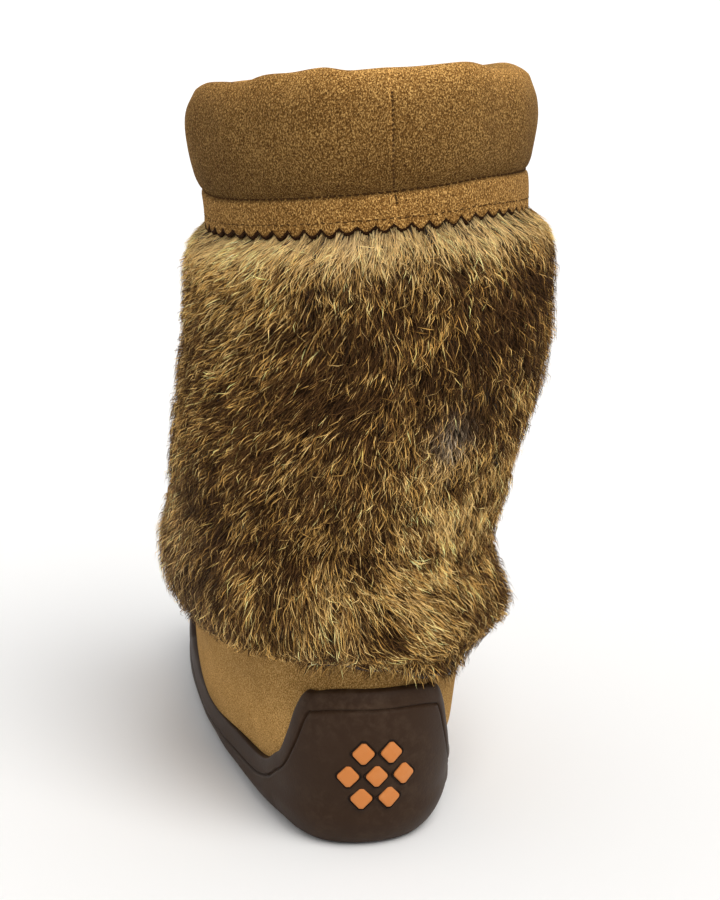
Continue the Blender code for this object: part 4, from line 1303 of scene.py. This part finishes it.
def make_cuff_stitches():
    """Stitches of the waist, of the hem, and slanting ones up the back seam."""
    cuff_stitch_line("waist_stitches", WAIST_AT, 0.0001, 0.0030, 0.0021, 0.00034)
    cuff_stitch_line("hem_stitches", HEM_STITCH_AT, 0.0000, 0.0029, 0.0020, 0.00022)
    at = np.concatenate([np.arange(0.45, 0.85, 0.11), np.arange(1.15, 3.0, 0.085)])
    first = cuff_points(at, BACK_SEAM_TURN - 0.0012 + 0.0006 * np.sin(3.1 * at))
    last = cuff_points(at + 0.034, BACK_SEAM_TURN + 0.0006 + 0.0006 * np.sin(3.1 * at))
    normals = unit(np.cross(last - first, np.array([1.0, 0.0, 0.0])) * -1)
    stitches("back_seam_stitches", (first, last), normals, 0.00036)


# Fur


def near_spot(turn, share, spot, reach):
    """1 at a spot of the shaft, falling off with the distance from it. A spot is given by
    its turn and by its share of the shaft's height, and the reach in metres."""
    across = nearest_turn(turn, spot[0]) * SHAFT_ROUND
    upward = (share - spot[1]) * SHAFT_TALL
    return bell(np.hypot(across, upward), reach)


def fur_lie(turn, share):
    """Lean of the fur in degrees: the mean of FUR_LIE, weighted by nearness."""
    total = np.zeros(np.shape(turn))
    weight = np.full(np.shape(turn), 1e-9)
    for *spot, lean in FUR_LIE:
        near = near_spot(turn, share, spot, FUR_LIE_REACH)
        total += near * lean
        weight += near
    return total / weight


def fur_patches(turn, share):
    """How many more of the hairs are light and how much greyer they are at a place. The
    coat is paler just under the cuff; along the folds the patches are painted shade and
    painted highlight."""
    under_cuff = bell(share - 1.02, 0.075)
    light, grey = 1.15 * under_cuff, 0.16 * under_cuff
    for *spot, reach, lighter, greyer in FUR_PATCHES:
        near = near_spot(turn, share, spot, reach)
        light = light + near * lighter
        grey = grey + near * greyer
    return light, np.clip(grey, 0.0, 1.0)


def folded_depth(length, turn):
    """Depth of the fur at a place, with its folds and its rounded lower hem."""
    share = length / hem_length(turn)
    fold = np.ones(np.broadcast(length, turn).shape)
    for *spot, reach, change in FUR_FOLDS:
        fold += change * near_spot(turn, share, spot, reach)
    return fur_depth_at(row_at_length(length, turn)) * hem_tuck(length) * fold


def on_coat(length, turn, depth):
    """Points by length up a column, turn and depth off the upper."""
    return on_skin(row_at_length(length, turn), turn, depth)


def fur_hem(turn):
    """Length at which the lowest hairs are rooted: lowest behind on the outer side, and a
    little uneven all round."""
    uneven = 0.0010 * np.sin(math.tau * 7 * turn + 1.0) + 0.0006 * np.sin(math.tau * 19 * turn)
    return -0.002 - 0.0065 * bell_round(turn, 0.070, 0.075) + uneven


def hem_tuck(length):
    """Share of the fur's depth that is left where it rounds in to its lower hem."""
    return 0.50 + 0.50 * ease((length + 0.011) / 0.024)


def make_undercoat():
    """Dense short fur on the shaft, from its lower hem up to the teeth of the cuff."""
    columns = 360
    turn = (np.arange(columns) / columns)[None]
    share = np.concatenate([np.linspace(0.0, 0.93, 72), np.linspace(0.937, 1.0, 18)])[:, None]
    top = hem_length(turn) - 0.0020
    edge = fur_hem(turn) - 0.004
    length = edge + (top - edge) * share
    depth = folded_depth(length, turn) * 0.66
    lumps = soft_noise(on_coat(length, turn, 0.01), 0.0045, 21) * 0.0010
    depth = np.minimum(depth + lumps, room_under_hem(length, turn) * 0.85)
    outside = on_coat(length, turn, depth)
    tongue = on_skin(HEM_ROW + 0.12, turn, 0.0014)
    inside = on_skin(np.linspace(HEM_ROW + 0.12, ANKLE_ROW, 24)[:, None], turn, seat_gap)
    hem = on_coat(edge + 0.001, turn, 0.004)
    grid = np.concatenate([outside, tongue, inside, hem])
    ring_piece("undercoat", grid, UNDERCOAT, ["fur_sleeve"])


def pick_from(colours, place):
    """Colours at places from 0 to 1 along a short list."""
    colours = np.array(colours)
    place = np.clip(place, 0.0, 1.0) * (len(colours) - 1)
    low = np.clip(place.astype(int), 0, len(colours) - 2)
    return colours[low] + (colours[low + 1] - colours[low]) * (place - low)[:, None]


def hair_colours(chance, light, root_turn, root_share, root_point, along):
    """Colour of each hair at each of its nodes: light or dark by chance and by patch,
    darker at the root, and on some hairs dark again at the tip."""
    count = len(root_turn)
    lighter, grey = fur_patches(root_turn, root_share)
    cloud = soft_noise(root_point, 0.016, 31) * 0.18 + soft_noise(root_point, 0.0065, 32) * 0.17
    is_light = chance.random(count) < np.clip(light + lighter * 1.05 + cloud, 0.02, 0.95)
    shade = chance.beta(1.4, 1.4, count)
    place = shade + lighter * 0.6
    colour = np.where(is_light[:, None], pick_from(LIGHT_HAIRS, place), pick_from(DARK_HAIRS, place))
    greyer = (grey * chance.uniform(0.2, 1.0, count))[:, None]
    colour = colour * (1 - greyer) + pick_from(GREY_HAIRS, shade * 0.6 + is_light * 0.4) * greyer
    tone = np.broadcast_to(0.10 + 1.0 * ease(along * 1.2), (count, len(along)))
    dark_tip = (chance.random(count) > 0.74)[:, None]
    tone = np.where(dark_tip, tone * (1 - 0.75 * ease((along - 0.55) / 0.35)), tone)
    return np.clip(colour[:, None] * tone[..., None], 0.0, 1.0)


def make_fur_coat(name, up, round, hairs, length, width, depth, light, tone, seed):
    """One coat of hairs in tufts. Each hair is a narrow tapered ribbon that rises from
    the undercoat, lies down with the coat and draws in to its tuft's tip."""
    chance = np.random.default_rng(seed)
    tufts = up * round
    i, j = np.divmod(np.arange(tufts), round)
    tuft_share = (i + chance.random(tufts)) / up
    tuft_turn = (j + chance.random(tufts)) / round
    hem = hem_length(tuft_turn)
    low = fur_hem(tuft_turn)
    tuft_length = low + (hem + 0.0010 - low) * tuft_share
    tuft_point = on_coat(tuft_length, tuft_turn, 0.01)
    lean = np.radians(fur_lie(tuft_turn, tuft_share))
    lean += 0.24 * soft_noise(tuft_point, 0.015, 41) + 0.26 * soft_noise(tuft_point, 0.006, 42)
    messy = 1 + 1.8 * bell(tuft_share, 0.12)
    lean += chance.normal(0.0, 0.15, tufts) * messy
    tuft_reach = length / 1000 * chance.uniform(0.75, 1.2, tufts)
    hollow = soft_noise(tuft_point, 0.010, 51) * 0.6 + soft_noise(tuft_point, 0.0045, 52) * 0.4
    tuft_depth = chance.uniform(*depth, tufts) + 0.10 * hollow

    of_tuft = np.repeat(np.arange(tufts), hairs)
    count = len(of_tuft)
    stray = chance.random(count) < 0.07
    offset = chance.normal(0.0, 0.0015, (count, 2))
    hair_lean = lean[of_tuft] + chance.normal(0.0, 0.12, count) + stray * chance.normal(0.0, 0.60, count)
    reach = tuft_reach[of_tuft] * chance.uniform(0.60, 1.15, count)
    curl = chance.normal(0.0, 0.15, count)
    root_turn = tuft_turn[of_tuft]
    root_length = np.minimum(tuft_length[of_tuft] + offset[:, 0], hem_length(root_turn) + 0.0010)
    share = np.array([0.0, 0.55, 1.0])
    angle = hair_lean[:, None] + curl[:, None] * share
    fall = reach[:, None] * share
    draw = 1 - 0.62 * share
    length_at = root_length[:, None] - fall * np.cos(angle) - offset[:, :1] * (1 - draw)
    sideways = fall * np.sin(angle) + offset[:, 1:] * draw
    row = row_at_length(root_length, root_turn)
    per_turn = read_grid(PER_TURN, row * STEPS, root_turn)
    turn_at = root_turn[:, None] + sideways / per_turn[:, None]
    local = folded_depth(length_at, turn_at)
    base = local * (depth[0] - 0.22)
    goal = local * (tuft_depth[of_tuft] + chance.normal(0.0, 0.03, count) + stray * 0.05)[:, None]
    depth_at = base + (goal - base) * ease(share * 1.35) ** 0.8
    depth_at[:, -1] -= 0.0005
    depth_at = np.minimum(depth_at, room_under_hem(length_at, turn_at) * (0.78 + 0.34 * share))
    points = on_coat(length_at, turn_at, depth_at)

    run = unit(np.gradient(points, axis=1))
    side = unit(np.cross(run, skin_normal(row_at_length(length_at, turn_at), turn_at)))
    outward = np.cross(side, run)
    twist = chance.normal(0.0, 0.5, count)[:, None, None]
    side = side * np.cos(twist) + outward * np.sin(twist)
    half = width / 2000 * chance.uniform(0.7, 1.3, count)[:, None, None]
    wide = 2
    taper = np.array([0.7, 1.0])[:, None]
    aside = side[:, :wide] * half * taper
    both = np.stack([points[:, :wide] - aside, points[:, :wide] + aside], axis=2)
    mesh_points = np.concatenate([both.reshape(count, 2 * wide, 3), points[:, wide:]], axis=1)
    # Painted shade: the coat's tone darkens the inner coats, and tufts in the fur's hollows are darker and
    # have fewer light hairs; the rest is random tone.
    tuft_painted_shade_and_tone = tone * np.exp(0.45 * hollow + chance.normal(0.0, 0.16, tufts))[of_tuft]
    root_share = root_length / hem_length(root_turn)
    tuft_light = light + 0.16 * hollow + chance.normal(0.0, 0.14, tufts)
    colours = hair_colours(chance, tuft_light[of_tuft], root_turn, root_share, points[:, 0], share)
    colours = np.clip(colours * tuft_painted_shade_and_tone[:, None, None], 0.0, 1.0)
    of_node = np.append(np.repeat(np.arange(wide), 2), wide)
    add_hairs(name, mesh_points, colours[:, of_node], wide)


def add_hairs(name, points, colours, wide):
    """Makes one mesh of many hairs: four-sided faces up each hair and a pointed tip."""
    count, each = points.shape[:2]
    order = [2 * i + k for i in range(wide - 1) for k in (0, 1, 3, 2)] + [each - 3, each - 2, each - 1]
    order = np.array(order)
    corners = (np.arange(count) * each)[:, None] + order
    begins = (np.arange(count) * len(order))[:, None] + 4 * np.arange(wide)
    mesh = array_mesh(name, points, corners, begins, hair_map(count, order, wide))
    paint(mesh, "hair_colour", np.concatenate([colours, np.ones((*colours.shape[:2], 1))], axis=2))
    dress(name, mesh, HAIR)


def hair_map(count, order, wide):
    """A cell of the map for every hair, in a square of cells."""
    cells = math.ceil(math.sqrt(count))
    number = np.arange(count)
    corner = np.stack([number % cells, number // cells], axis=-1)[:, None] / cells
    u = np.where(order == 2 * wide, 0.5, 0.1 + 0.8 * (order % 2))
    v = 0.05 + 0.90 * (order // 2) / wide
    return corner + np.stack([u, v], axis=-1) / cells


def make_fur():
    make_undercoat()
    for number, coat in enumerate(FUR_COATS):
        make_fur_coat(seed=101 + number, **coat)


# Picture


def make_floor():
    """A pale round floor whose edge curves up: a profile turned about the middle, with
    one flat face to close it."""
    bend = np.linspace(0.0, math.pi / 2, 20)
    radius = np.concatenate([[1.0], 5.0 + 1.6 * np.sin(bend), [6.6]])
    height = np.concatenate([[0.0], 1.6 - 1.6 * np.cos(bend), [2.6]])
    angle = math.tau * np.arange(96) / 96
    x, y = radius[:, None] * np.cos(angle), radius[:, None] * np.sin(angle)
    points = np.stack([x, y, np.broadcast_to(height[:, None], x.shape)], axis=-1).reshape(-1, 3)
    quads, _ = grid_quads(len(radius), len(angle))
    mesh = bpy.data.meshes.new("floor")
    mesh.from_pydata(points, [], unpinched(quads[:, ::-1]) + [tuple(range(len(angle)))])
    mesh.shade_smooth()
    mesh.materials.append(new_material("floor_white", (0.90, 0.90, 0.90), 0.9)[0])
    put_in_scene("floor", mesh)


def make_lights():
    """A pale even world and one broad soft lamp, high on the viewer's right."""
    world = bpy.data.worlds.new("studio")
    world.use_nodes = True
    background = world.node_tree.nodes["Background"].inputs
    background["Color"].default_value = (1.0, 1.0, 1.0, 1.0)
    background["Strength"].default_value = 0.66
    bpy.context.scene.world = world
    light = bpy.data.lights.new("key", "SUN")
    light.energy = 1.9
    light.angle = math.radians(40)
    light.color = (1.0, 0.975, 0.94)
    lamp = put_in_scene("key", light)
    lamp.rotation_euler = Vector((-0.22, 0.62, -1.0)).to_track_quat("-Z", "Y").to_euler()


camera_place = (-0.162, -0.660, 0.330)
camera_aim = (0.0045, 0.020, 0.1527)
camera_roll = math.radians(1.64)
camera_lens = 69.2


def make_camera():
    """The photo's viewpoint, turned to this boot alone and rolled to keep its lean."""
    camera = bpy.data.cameras.new("camera")
    camera.lens = camera_lens
    camera.sensor_width = 36.0
    thing = put_in_scene("camera", camera)
    look = (Vector(camera_aim) - Vector(camera_place)).to_track_quat("-Z", "Y").to_matrix().to_4x4()
    roll = Matrix.Rotation(camera_roll, 4, "Z")
    thing.matrix_world = Matrix.Translation(camera_place) @ look @ roll
    bpy.context.scene.camera = thing


def main():
    make_camera()
    make_cup_sole()
    make_lozenges()
    make_footbed()
    make_suede_upper()
    make_apron_seam()
    make_cuff()
    make_cuff_stitches()
    make_fur()
    make_floor()
    make_lights()
    bpy.context.scene.view_settings.view_transform = "Standard"


main()
bpy.context.view_layer.update()
